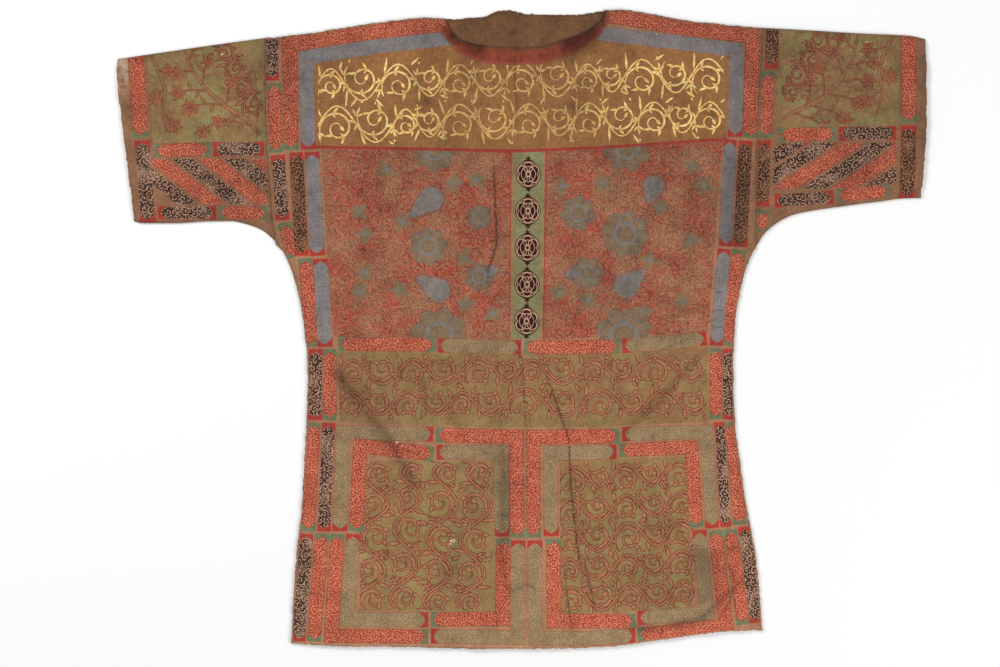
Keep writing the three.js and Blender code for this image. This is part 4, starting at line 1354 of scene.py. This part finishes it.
def spray(painting, paint_name, x, y, heading, reach, breadth):
    """Three leaves that fan out from one point, with a bud beyond them."""
    for turn, share in ((-42, 0.8), (0, 1.0), (42, 0.8)):
        leaf(painting, paint_name, x, y, heading + turn, reach * share, breadth, turn / 30)
    bud_x = x + math.cos(math.radians(heading)) * reach * 1.25
    bud_y = y + math.sin(math.radians(heading)) * reach * 1.25
    leaf(painting, paint_name, bud_x, bud_y, heading, reach * 0.35, breadth * 0.9, 0)


def scroll_row(painting, paint_name, start, end, reach, radius, breadth, count, seed):
    """A waving stem from start to end with a scroll in each of its uneven bays, first to one side and
    then to the other, and a spray and long leaves across the stem between them."""
    draw = random.Random(seed)
    turn = math.atan2(end[1] - start[1], end[0] - start[0])
    turn_degrees = math.degrees(turn)
    stem_points = 8           # for each bay

    def at(along, aside):
        return (start[0] + math.cos(turn) * along - math.sin(turn) * aside,
                start[1] + math.sin(turn) * along + math.cos(turn) * aside)

    def long_leaf(along, aside, heading, size, width, bend):
        leaf(painting, paint_name, *at(along, aside), turn_degrees + heading, size, breadth * width, bend)

    widths = [draw.uniform(0.74, 1.26) for _ in range(count)]
    unit = math.dist(start, end) / sum(widths)
    stem, along = [], 0.0
    for k, width in enumerate(widths):
        bay, side = width * unit, -1 if k % 2 else 1
        wave = reach * (0.4 + 0.6 * width)
        size = radius * (0.3 + 0.7 * width)
        stem += [at(along + bay * i / stem_points, math.sin(i / stem_points * math.pi) * wave * side)
                 for i in range(stem_points)]
        scroll(painting, paint_name, *at(along + bay / 2, -side * wave * 0.2), size,
               180 + side * draw.uniform(20, 50) + turn_degrees, -side, breadth)
        spray(painting, paint_name, *at(along, -side * wave * 0.4),
              turn_degrees - 90 * side + draw.uniform(-24, 24), size * 0.6, breadth * 0.95)
        long_leaf(along + bay * 0.1, side * wave * 0.35, side * draw.uniform(80, 120), size * 1.1, 1.15,
                  side * draw.uniform(-2.4, -0.8))
        long_leaf(along + bay * 0.84, side * wave * 0.9, side * draw.uniform(25, 70), size * 0.7, 1.1,
                  draw.uniform(-2, 2))
        along += bay
    painting.ribbon(paint_name, stem + [end], breadth * 0.75)


def blossom(painting, x, y, radius, petals, turn):
    """An open flower of pointed petals."""
    for k in range(petals):
        leaf(painting, "blossom", x, y, turn + k * 360 / petals, radius, radius * 0.27, 0.8)


def branch(painting, route, breadth, twigs, seed):
    """A branch with twigs that carry leaves and end in blossoms."""
    draw = random.Random(seed)
    smooth_route = subdivided(route, BRANCH_STEP)
    painting.ribbon("branch", smooth_route, swelling(len(smooth_route), breadth * 0.5, breadth, 0.2))
    for share, side, reach, petals in twigs:
        index = min(len(smooth_route) - 2, int(share * len(smooth_route)))
        heading = heading_of(*smooth_route[index:index + 2]) + side * draw.uniform(40, 62)
        twig = tendril(*smooth_route[index], heading, reach, side * -0.8, side * 1.6, 8)
        painting.ribbon("branch", twig, swelling(len(twig), 0.7, breadth * 0.45, 0.2))
        for k in (2, 4, 6):
            leaf(painting, "branch", *twig[k], heading + side * (55 if k % 4 else -60), 13, 2.9, side)
        blossom(painting, *twig[-1], draw.uniform(10.5, 13.5), petals, draw.uniform(0, 60))


def rosette(painting, rosette_row, seed):
    """A round flower: scalloped petals, two rings and the lines between the petals."""
    x, y, radius, petals = rosette_row
    draw = random.Random(seed)
    turn = draw.uniform(0, 360 / petals)

    def ring(reach, wave, count):
        points = []
        for a in angles(count):
            notch = 1 - wave * abs(math.sin(petals * (a - math.radians(turn)) / 2)) ** 3
            points.append((x + math.cos(a) * reach * notch, y + math.sin(a) * reach * notch))
        return points

    scallop = 0.2
    outline = ring(radius, scallop, petals * 6)
    painting.area("petal", outline, centre=(x, y), half_size=(radius, radius))
    for paint_name, points, half_breadth in (
            ("petal_line", outline, 0.6), ("petal_line", ring(radius * 0.86, scallop, petals * 6), 0.4),
            ("blue_paint", ring(radius * 0.45, 0, 22), radius * 0.07),
            ("petal_line", ring(radius * 0.3, 0, 16), 0.5)):
        painting.ribbon(paint_name, points, half_breadth, closed=True)
    for k in range(petals):
        a = math.radians(turn + (k + 0.5) * 360 / petals)
        painting.ribbon("petal_line", [(x + math.cos(a) * reach, y + math.sin(a) * reach)
                                       for reach in (radius * 0.5, radius * 0.8)], 0.6)


def drop(painting, row):
    """A leaf-shaped drop with a point, and a line round it."""
    turn = math.atan2(row.tip_y - row.y, row.tip_x - row.x)
    tip = math.hypot(row.tip_x - row.x, row.tip_y - row.y)

    def outline(grow):
        points = []
        for a in angles(26):
            forward = max(0.0, math.cos(a))
            reach = row.radius * 1.02 + grow + (tip - row.radius) * forward ** 6
            side = math.sin(a) * (row.radius * 1.04 + grow)
            along = math.cos(a) * reach
            points.append((row.x + along * math.cos(turn) - side * math.sin(turn),
                           row.y + along * math.sin(turn) + side * math.cos(turn)))
        return points

    painting.area("blue_paint", outline(0), centre=(row.x, row.y), half_size=(row.radius, row.radius))
    painting.ribbon("petal_line", outline(-1.0), 0.7, closed=True)
    painting.ribbon("petal_line", outline(2.4), 0.6, closed=True)


def small_bloom(painting, x, y, seed):
    """A bloom of four or five petals with a thin stem."""
    draw = random.Random(seed)
    turn, petals = draw.uniform(0, 90), draw.choice((4, 5))
    for k in range(petals):
        leaf(painting, "petal", x, y, turn + k * 360 / petals, draw.uniform(12, 16), 4.6, 1.0)
    painting.area("blue_paint", [round_about(x, y, a, 4.2, 3.6) for a in angles(8)])
    stem = tendril(x, y, draw.uniform(0, 360), 38, draw.uniform(-3, 3), draw.uniform(-5, 5), 10)
    painting.ribbon("petal", stem, swelling(len(stem), 0.3, 0.8))


def medallion(painting, row):
    """A pointed oval with a small leaf above and below."""
    corners = []
    for a in angles(28):
        reach = 1 + 0.1 * abs(math.sin(a)) ** 12
        corners.append((row.x + row.width * math.cos(a), row.y + row.height * math.sin(a) * reach))
    painting.area("medallion", corners, centre=(row.x, row.y), half_size=(row.width, row.height))
    for way in (1, -1):
        leaf(painting, "ink", row.x, row.y + way * (row.height - 1), 90 * way, 7.5, 1.6, 0)
        for side in (1, -1):
            leaf(painting, "ink", row.x, row.y + way * (row.height + 1), 90 * way + side * 48, 5, 0.9,
                 side * 4)


def lattice(painting, row, next_row):
    """Light crossing lines between two medallions."""
    top, base = row.y - row.height - 2, next_row.y + next_row.height + 2
    aside, beyond = 17, 6
    for side in (1, -1):
        route = [(row.x - side * aside, top + beyond), (row.x, (top + base) / 2),
                 (next_row.x + side * aside, base - beyond)]
        painting.ribbon("petal_line", route, 0.5)


def stripes(painting, row):
    """Slanting bands that fill a box."""
    painting.box = (row.low, row.high)
    slope = math.radians(row.slope)
    base = row.low[1]
    reach = 130               # further than any box
    for k, paint_name in enumerate(row.paints):
        x = row.first_x + k * row.step
        ends = [(x + way * math.cos(slope), base + way * math.sin(slope)) for way in (-reach, reach)]
        painting.ribbon(paint_name, subdivided(ends, STRIPE_STEP), row.breadth / 2)
    painting.box = None


def uneven_spot(x, y, half_width, half_height):
    """A small uneven patch."""
    points = []
    for k, a in enumerate(angles(12)):
        r = 0.8 + 0.35 * noise.noise(Vector((x, y, k * 0.7)))
        points.append(round_about(x, y, a, half_width * r, half_height * r))
    return points


def paint_front(painting):
    """Everything that is painted on the front."""
    for field in FRONT_FIELDS:
        painting.field(field, FRONT_FIELD_STEP)
    for k, row in enumerate(ROSETTES):
        rosette(painting, row, ROSETTE_SEED + k)
    for row in DROPS:
        drop(painting, row)
    for k, (x, y) in enumerate(BLOOMS):
        small_bloom(painting, x, y, BLOOM_SEED + k)
    for row in MEDALLIONS:
        medallion(painting, row)
    for row, next_row in zip(MEDALLIONS, MEDALLIONS[1:]):
        lattice(painting, row, next_row)
    for box, paint_name, scroll_rows, measures in SCROLL_PANELS:
        painting.box = box
        for start, end, seed in scroll_rows:
            scroll_row(painting, paint_name, start, end, *measures, seed)
    painting.box = None
    painting.bands(FRONT_BANDS)
    painting.worn_spots(LEFT_ARMHOLE.top[0], RIGHT_ARMHOLE.top[0])
    for route, breadth in RED_LINES:
        painting.ribbon("red_line", subdivided(route, LINE_STEP), breadth / 2)


def paint_sleeve(painting, plan):
    """Everything that is painted on a sleeve."""
    painting.worn_spots(*plan.spots_between)
    painting.field(plan.field, SLEEVE_FIELD_STEP)
    painting.box = plan.box
    for row in plan.branches:
        branch(painting, *row)
    start, end, seed = plan.scroll
    scroll_row(painting, "stroke", start, end, *SLEEVE_SCROLL, seed)
    painting.box = None
    stripes(painting, plan.stripes)
    painting.bands(plan.bands)


# ---- sheets -----------------------------------------------------------------------------------------

def inner_points(cut, step, margin, seed):
    """Points all over the inside of a piece, in staggered rows with a little unevenness."""
    draw = random.Random(seed)
    row_share, unevenness = 0.87, 0.12
    x_low = min(float(np.min(cut.left.at(np.linspace(*cut.left_span, 30)))), cut.low_span[0])
    x_high = max(float(np.max(cut.right.at(np.linspace(*cut.right_span, 30)))), cut.low_span[1])
    y_low = float(np.min(cut.low.at(np.linspace(*cut.low_span, 30))))
    y_high = float(np.max(cut.high.at(np.linspace(*cut.high_span, 60))))
    points = []
    rows = int((y_high - y_low) / (step * row_share)) + 1
    columns = int((x_high - x_low) / step) + 1
    for j in range(rows):
        for i in range(columns):
            x = x_low + (i + (j % 2) * 0.5) * step + draw.uniform(-unevenness, unevenness) * step
            y = y_low + j * step * row_share + draw.uniform(-unevenness, unevenness) * step
            if cut.holds(x, y, margin):
                points.append((x, y))
    return points


def crease_points(cut):
    """Rows of points along and beside each crease, so that the mesh can follow it."""
    points = []
    step, margin = 4.5, 3.0
    breadths = (-1.9, -1.1, -0.55, 0, 0.55, 1.1, 1.9)
    for crease in CREASES:
        route = subdivided(crease.route, step)
        for k in range(len(route)):
            for share in breadths:
                side = offset_point(route, k, abs(share) * crease.width, False)[0 if share > 0 else 1]
                if cut.holds(*side, margin):
                    points.append(side)
    return points


def read_all(items, key, width=1, kind=np.int32):
    """One value of every item of a mesh, as an array with a row for each item."""
    values = np.zeros(len(items) * width, dtype=kind)
    items.foreach_get(key, values)
    return values.reshape(-1, width) if width > 1 else values


def box_of(corners):
    """The least and the greatest x and y of some points."""
    xs, ys = [c[0] for c in corners], [c[1] for c in corners]
    return min(xs), min(ys), max(xs), max(ys)


def in_box(box, point):
    return box[0] <= point[0] <= box[2] and box[1] <= point[1] <= box[3]


class Sheet:
    """One piece of cloth as a closed thin solid."""

    def __init__(self, name):
        self.name = name
        self.bm = bmesh.new()
        self.shape_layer = self.bm.faces.layers.int.new("shape")
        self.chart_layer = self.bm.faces.layers.int.new("chart")

    def ring(self, points, height):
        """Vertices round an outline. `height` is one number or one for each point, in millimetres."""
        heights = height if hasattr(height, "__len__") else [height] * len(points)
        return [self.bm.verts.new((x * MM, y * MM, z * MM)) for (x, y), z in zip(points, heights)]

    def fill(self, ring, inner, height_of, chart, shapes=(), downwards=False):
        """Fills a ring with triangles through the inner points and along the edges of the shapes."""
        outline = [(v.co.x / MM, v.co.y / MM) for v in ring]
        points = [Vector(p) for p in outline + list(inner)]
        loops = [list(range(len(outline)))]
        for shape in shapes:
            loops.append(list(range(len(points), len(points) + len(shape.corners))))
            points += [Vector(c) for c in shape.corners]
        inside_only, merge_distance = 1, 1e-3
        found, _, faces, origins, _, face_origins = delaunay_2d_cdt(
            points, [], loops, inside_only, merge_distance)
        flat = np.array([(p.x, p.y) for p in found])
        heights = height_of(flat)
        verts = []
        for k, (x, y) in enumerate(flat):
            on_ring = [o for o in origins[k] if o < len(outline)]
            place = (x * MM, y * MM, heights[k] * MM)
            verts.append(ring[on_ring[0]] if on_ring else self.bm.verts.new(place))
        order = [(-1, 0)] + [(RANKS[shape.paint], k + 1) for k, shape in enumerate(shapes)]
        boxes = [box_of(shape.corners) for shape in shapes]
        for corners, owners in zip(faces, face_origins):
            corner_verts = [verts[c] for c in corners]
            if 0 not in owners or len(set(corner_verts)) < 3:
                continue
            if downwards:
                corner_verts.reverse()
            face = self.bm.faces.new(corner_verts)
            middle = flat[list(corners)].mean(axis=0)
            owners = [o for o in owners if o == 0 or in_box(boxes[o - 1], middle)]
            face[self.shape_layer] = max(owners, key=lambda o: order[o]) - 1
            face[self.chart_layer] = chart
            face.smooth = True

    def strip(self, first, second, chart, closed=True):
        """Joins two rows of vertices with as many faces."""
        count = len(first) if closed else len(first) - 1
        for k in range(count):
            following = (k + 1) % len(first)
            corners = [first[k], first[following], second[following], second[k]]
            corners = [v for i, v in enumerate(corners) if v not in corners[:i]]
            if len(corners) > 2:
                face = self.bm.faces.new(corners)
                face[self.shape_layer] = -1
                face[self.chart_layer] = chart
                face.smooth = True

    def finished(self, shapes, charts, painted_shade_of, plain):
        """The object, with its finishes and its maps. `charts` gives, for each part of the sheet, the
        place and the scale of its part of the colour map."""
        bmesh.ops.recalc_face_normals(self.bm, faces=self.bm.faces)
        mesh = bpy.data.meshes.new(self.name)
        self.bm.to_mesh(mesh)
        self.bm.free()
        shape_of, chart_of = (read_all(mesh.attributes[layer].data, "value") for layer in ("shape", "chart"))
        slots = [plain, "brown"] + sorted({shape.paint for shape in shapes})
        for slot in slots:
            mesh.materials.append(finish_named(slot))
        paint_slots = np.array([slots.index(shape.paint, 2) for shape in shapes] + [0], dtype=np.int32)
        material_of = np.where(chart_of == 0, paint_slots[shape_of], 1)
        mesh.polygons.foreach_set("material_index", material_of.astype(np.int32))
        flat = read_all(mesh.vertices, "co", 3, float)[:, :2] / MM
        self.add_maps(mesh, flat, shapes, shape_of, chart_of, charts)
        # Painted shade along creases, sewn edges and armholes, kept on the points as the 'crease' attribute.
        crease = mesh.attributes.new("crease", "FLOAT", "POINT")
        crease.data.foreach_set("value", painted_shade_of(flat))
        for layer in ("shape", "chart"):
            mesh.attributes.remove(mesh.attributes[layer])
        return placed(self.name, mesh)

    @staticmethod
    def add_maps(mesh, flat, shapes, shape_of, chart_of, charts):
        """The maps that the finishes and the colour map read, worked out for each corner of each face."""
        face_of = np.repeat(np.arange(len(mesh.polygons)), read_all(mesh.polygons, "loop_total"))
        place = flat[read_all(mesh.loops, "vertex_index")]
        rows = [(*s.origin, *s.heading, s.along, s.half_length, *s.breadths, s.span) for s in shapes]
        unpainted = (0, 0, 1, 0, 0, 1, 1, 1, 1)
        table = np.array(rows + [unpainted], dtype=float)[shape_of[face_of]].T
        origin_x, origin_y, heading_x, heading_y, along, half_length, breadth, end_breadth, span = table
        dx, dy = place[:, 0] - origin_x, place[:, 1] - origin_y
        way = dx * heading_x + dy * heading_y
        across = dy * heading_x - dx * heading_y
        here = breadth + (end_breadth - breadth) * np.clip(way / span, 0, 1)
        maps = {
            PLACE_MAP: np.stack([way + along, across], axis=1),
            SIZE_MAP: np.stack([half_length, here], axis=1),
        }
        chart_table = np.array(charts, dtype=float)[chart_of[face_of]]
        maps[BAKE_MAP] = (place - chart_table[:, 0:2]) * chart_table[:, 4:5] + chart_table[:, 2:4]
        for name, pairs in maps.items():
            layer = mesh.uv_layers.new(name=name)
            layer.data.foreach_set("uv", pairs.astype(np.float32).ravel())


# Parts of the colour map for each part of a sheet: the corner of its part of the map, and the share of
# the map that a millimetre takes.
BODY_ORIGIN, BODY_WIDTH, BODY_HEIGHT, SLEEVE_LENGTH = (-346, -432.5), 672, 865, 230
FRONT_CHARTS = [(0.006, 0.007, 0.985 / BODY_HEIGHT), (0.79, 0.01, 0.2 / BODY_WIDTH)]
BACK_CHARTS = [(0.004, 0.25, 0.74 / BODY_HEIGHT), (0.62, 0.005, 0.36 / BODY_WIDTH)]
SLEEVE_CHARTS = [(0.005, 0.005, 0.64 / SLEEVE_LENGTH), (0.665, 0.005, 0.33 / SLEEVE_LENGTH),
                 (0.665, 0.5, 0.33 / SLEEVE_LENGTH * 0.9), (0.005, 0.86, 0.33 / SLEEVE_LENGTH * 0.45)]

EDGE_STEP, SLEEVE_EDGE_STEP = 3.2, 4.0
PAINTED_MARGIN, BACK_MARGIN, PLAIN_MARGIN = 2.5, 4.0, 6.0       # bare of inner points along an edge
CORNER_REACH = 9             # how far from a corner the cloth's edge is worn in full


def nibbled(x, y, seed):
    """How far the worn edge is eaten inwards at a place, from 0 to 1."""
    fine, broad = 3.3, 19
    small = 0.9 * noise.noise(Vector((x / fine, y / fine, seed)))
    return min(1.0, max(0.0, 0.5 + small + 0.5 * noise.noise(Vector((x / broad, y / broad, seed + 5)))))


def frayed(cut, sides, seed):
    """The outline of the front or the back, eaten inwards a little along its open edges."""
    points = []
    for way, side in zip(((0, 1), (-1, 0), (0, -1), (1, 0)), sides):
        for x, y in side:
            to_corner = min(math.dist((x, y), side[0]), math.dist((x, y), side[-1]))
            bite = cut.fray * soft(to_corner / CORNER_REACH) * nibbled(x, y, seed)
            bite *= cut.open_below(y) if way[0] else cut.worn_above(x) if way[1] < 0 else 1.0
            points.append((x + way[0] * bite, y + way[1] * bite))
    return points


def body_sheet(name, cut, seeds, dense, top, underside, charts, creases, plain, shapes=()):
    """The front or the back, between two heights, with dense points on top. The two seeds are those of
    its worn edge and of the points below."""
    sheet = Sheet(name)
    outline = frayed(cut, cut.ring(EDGE_STEP), seeds[0])
    outline_points = np.array(outline)
    upper = sheet.ring(outline, top(outline_points))
    lower = sheet.ring(outline, underside(outline_points))
    sheet.fill(upper, dense, top, 0, shapes)
    coarse = inner_points(cut, in_mm("plain_step"), PLAIN_MARGIN, seeds[1])
    sheet.fill(lower, coarse, underside, 1, downwards=True)
    sheet.strip(lower, upper, 0)
    return sheet.finished(shapes, [(*BODY_ORIGIN, *chart) for chart in charts],
                          lambda points: painted_shade(cut, points, creases), plain)


def make_front():
    """The front: its underside keeps clear of the back, and its folds stand above that."""
    wall = in_mm("wall")
    base = wall + in_mm("seam_gap")
    cut = body_cut(FRONT_NECK)
    painting = Painting(cut)
    paint_front(painting)

    def top(points):
        return upper_heights(cut, points) + base + wall

    def underside(points):
        return fold_heights(cut, points) + base

    dense = inner_points(cut, in_mm("front_step"), PAINTED_MARGIN, 5) + crease_points(cut)
    return body_sheet("painted_front", cut, (1.0, 6), dense, top, underside, FRONT_CHARTS, CREASES, "bare",
                      painting.shapes)


def make_back():
    """The back: level, on the floor."""
    cut = body_cut(BACK_NECK)

    def top(points):
        return np.full(len(points), in_mm("wall"))

    def underside(points):
        return np.zeros(len(points))

    dense = inner_points(cut, in_mm("plain_step"), BACK_MARGIN, 7)
    return body_sheet("plain_back", cut, (9.0, 8), dense, top, underside, BACK_CHARTS, BACK_CREASES, "brown")


def sleeve_rings(cut, inset):
    """The outline of a sleeve, moved in by `inset` along its fold and its underarm seam, as its four
    sides. Each side has as many points for any inset."""
    low, right, high, left = cut.ring(SLEEVE_EDGE_STEP)
    fray = in_mm("fray")

    def upright(side, edge):
        count = len(side)
        y_start, y_end = side[0][1], 2 * side[-1][1] - side[-2][1]
        sign = 1 if y_end > y_start else -1
        reach = y_end - y_start - 2 * sign * inset
        keys = [y_start + sign * inset + reach * i / count for i in range(count)]
        inwards = fray * (0 if isinstance(edge, SeamEdge) else -1 if edge is cut.right else 1)
        ends = [min(abs(k - y_start), abs(k - y_end)) for k in keys]
        return [(float(edge.at(k)) + inwards * soft(end / CORNER_REACH) * nibbled(0.0, k, 3.0), k)
                for k, end in zip(keys, ends)]

    return [[(x, y + inset) for x, y in low], upright(right, cut.right),
            [(x, y - inset) for x, y in high], upright(left, cut.left)]


def make_sleeve(name, sleeve, plan, seed):
    """A sleeve: a flattened tube, open at the cuff and at the armhole."""
    wall, gap = in_mm("wall"), in_mm("seam_gap")
    cut = sleeve_cut(sleeve)
    painting = Painting(cut)
    paint_sleeve(painting, plan)
    sheet = Sheet(name)
    middle = wall + gap / 2
    outer, inner = sleeve_rings(cut, 0.0), sleeve_rings(cut, wall)

    def rounding(points, inset):
        """0 at the fold and the seam, 1 where the cloth lies flat."""
        way = np.minimum(points[:, 1] - cut.low.at(points[:, 0]), cut.high.at(points[:, 0]) - points[:, 1])
        share = np.clip((way - inset) / wall, 0, 1)
        return np.sqrt(1 - (1 - share) ** 2)

    def level(flat_height, lift, inset):
        def height_of(points):
            lifted = lift(cut, points) if lift else 0.0
            return middle + (flat_height + lifted - middle) * rounding(points, inset)
        return height_of

    outer_top = level(2 * wall + gap, upper_heights, 0.0)
    outer_base = level(0.0, None, 0.0)
    inner_top = level(wall + gap, fold_heights, wall)
    inner_base = level(wall, None, wall)

    def rows(sides, top_height, base_height):
        """Vertices of the two closed edges once, and of the two open edges above and below."""
        low, right, high, left = sides
        low_verts, high_verts, right_corner, left_corner = (
            sheet.ring(points, middle) for points in (low, high, right[:1], left[:1]))
        right_top, right_base, left_top, left_base = (
            sheet.ring(points, height_of(np.array(points)))
            for points in (right[1:], left[1:]) for height_of in (top_height, base_height))
        top_ring = low_verts + right_corner + right_top + high_verts + left_corner + left_top
        base_ring = low_verts + right_corner + right_base + high_verts + left_corner + left_base
        ends = {
            "right": (right_corner + right_top + high_verts[:1], right_corner + right_base + high_verts[:1]),
            "left": (left_corner + left_top + low_verts[:1], left_corner + left_base + low_verts[:1]),
        }
        return top_ring, base_ring, ends

    outer_top_ring, outer_base_ring, outer_ends = rows(outer, outer_top, outer_base)
    inner_top_ring, inner_base_ring, inner_ends = rows(inner, inner_top, inner_base)
    beside, margin = (wall * 0.3, wall), 0.8
    edge_rows = [(x, y + way) for x, y in outer[0] for way in beside]
    edge_rows += [(x, y - way) for x, y in outer[2] for way in beside]
    edge_rows = [(x, y) for x, y in edge_rows if cut.left.at(y) + margin < x < cut.right.at(y) - margin]
    dense = inner_points(cut, in_mm("front_step"), PAINTED_MARGIN, seed) + crease_points(cut)
    coarse = inner_points(cut, in_mm("plain_step"), PLAIN_MARGIN, seed + 1)
    sheet.fill(outer_top_ring, dense + edge_rows, outer_top, 0, painting.shapes)
    sheet.fill(outer_base_ring, coarse + edge_rows, outer_base, 1, downwards=True)
    sheet.fill(inner_top_ring, coarse, inner_top, 2, downwards=True)
    sheet.fill(inner_base_ring, coarse, inner_base, 3)
    for side in ("left", "right"):
        for level_index in (0, 1):
            sheet.strip(outer_ends[side][level_index], inner_ends[side][level_index], 0, closed=False)
    origin = min(cut.low_span[0], cut.high_span[0]) - 4, min(y for _, y in outer[0]) - 1
    return sheet.finished(painting.shapes, [(*origin, *chart) for chart in SLEEVE_CHARTS],
                          lambda points: painted_shade(cut, points, CREASES), "sleeve_cloth")


# ---- operators --------------------------------------------------------------------------------------

def declare(piece, node):
    """Attaches a sheet to the shirt's root body and hides the CAD part that it stands for."""
    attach(piece, "root")
    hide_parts(node)


class SHIRT_OT_back(bpy.types.Operator):
    """Makes the plain back, which lies on the floor"""

    bl_idname = "shirt.back"
    bl_label = "Back"

    def execute(self, context):
        piece = make_back()
        declare(piece, "back_panel")
        return {"FINISHED"}


class SHIRT_OT_front(bpy.types.Operator):
    """Makes the painted front, which lies on the back"""

    bl_idname = "shirt.front"
    bl_label = "Front"

    def execute(self, context):
        piece = make_front()
        declare(piece, "front_panel")
        return {"FINISHED"}


class SHIRT_OT_sleeves(bpy.types.Operator):
    """Makes the two sleeves, each a flattened tube"""

    bl_idname = "shirt.sleeves"
    bl_label = "Sleeves"

    def execute(self, context):
        left = make_sleeve("painted_sleeve_left", LEFT_SLEEVE, LEFT_PLAN, 11)
        declare(left, "sleeve_left")
        right = make_sleeve("painted_sleeve_right", RIGHT_SLEEVE, RIGHT_PLAN, 13)
        declare(right, "sleeve_right")
        return {"FINISHED"}


class SHIRT_OT_stage(bpy.types.Operator):
    """Makes the pale floor, the soft lights and the camera"""

    bl_idname = "shirt.stage"
    bl_label = "Stage"

    def execute(self, context):
        make_floor()
        make_lights()
        make_camera()
        context.scene.view_settings.view_transform = "Standard"
        return {"FINISHED"}


def make_floor():
    half_side, drop_below = 6.0, 0.0004
    bm = bmesh.new()
    bmesh.ops.create_grid(bm, x_segments=2, y_segments=2, size=half_side)
    bmesh.ops.translate(bm, verts=bm.verts, vec=(0, 0, -drop_below))
    mesh = bpy.data.meshes.new("pale_floor")
    bm.to_mesh(mesh)
    bm.free()
    near_white = {"Base Color": (0.97, 0.97, 0.97, 1), "Roughness": 0.9, "Specular IOR Level": 0.1}
    mesh.materials.append(Finish("pale_floor").shaded(near_white))
    floor = placed("pale_floor", mesh)


# Square lights, all aimed at the origin: name, place, side length and power.
SoftBox = namedtuple("SoftBox", "name place side power")
SOFT_BOXES = [
    SoftBox("key_light", (-2.2, 1.7, 2.1), 1.2, 60),
    SoftBox("fill_light", (2.6, -1.5, 2.4), 2.4, 70),
]
WORLD_LIGHT = 0.47


def make_lights():
    for row in SOFT_BOXES:
        light = bpy.data.lights.new(row.name, "AREA")
        light.shape = "SQUARE"
        light.size = row.side
        light.energy = row.power
        lamp = placed(row.name, light)
        lamp.location = row.place
        lamp.rotation_euler = (-Vector(row.place)).to_track_quat("-Z", "Y").to_euler()
    world = bpy.context.scene.world or bpy.data.worlds.new("studio")
    bpy.context.scene.world = world
    world.use_nodes = True
    background = world.node_tree.nodes["Background"]
    background.inputs["Color"].default_value = (1, 1, 1, 1)
    background.inputs["Strength"].default_value = WORLD_LIGHT


VIEW_WIDTH = 1.350           # width of the floor that the camera sees
VIEW_CENTRE = (-0.0290, -0.0054)
LENS = 100                   # millimetres
SENSOR = 36


def make_camera():
    data = bpy.data.cameras.new("overhead")
    data.lens = LENS
    data.sensor_width = SENSOR
    camera = placed("overhead", data)
    camera.location = (*VIEW_CENTRE, VIEW_WIDTH * LENS / SENSOR)
    bpy.context.scene.camera = camera


class SHIRT_PT_panel(bpy.types.Panel):
    """Lists the shirt's pieces, sizes and colours"""

    bl_idname = "SHIRT_PT_panel"
    bl_label = "Painted shirt"
    bl_space_type = "VIEW_3D"
    bl_region_type = "UI"
    bl_category = "Shirt"

    def draw(self, context):
        layout = self.layout
        for operator in OPERATORS:
            layout.operator(operator.bl_idname)
        for group in (context.scene.shirt_sizes, context.scene.shirt_colours):
            box = layout.box()
            for name in group.__annotations__:
                box.prop(group, name)


OPERATORS = (SHIRT_OT_back, SHIRT_OT_front, SHIRT_OT_sleeves, SHIRT_OT_stage)
CLASSES = (ShirtSizes, ShirtColours, *OPERATORS, SHIRT_PT_panel)


def register():
    for cls in CLASSES:
        bpy.utils.register_class(cls)
    bpy.types.Scene.shirt_sizes = bpy.props.PointerProperty(type=ShirtSizes)
    bpy.types.Scene.shirt_colours = bpy.props.PointerProperty(type=ShirtColours)


def unregister():
    del bpy.types.Scene.shirt_colours
    del bpy.types.Scene.shirt_sizes
    for cls in reversed(CLASSES):
        bpy.utils.unregister_class(cls)


def main():
    register()
    bpy.ops.shirt.back()
    bpy.ops.shirt.front()
    bpy.ops.shirt.sleeves()
    bpy.ops.shirt.stage()


if __name__ == "__main__":
    main()
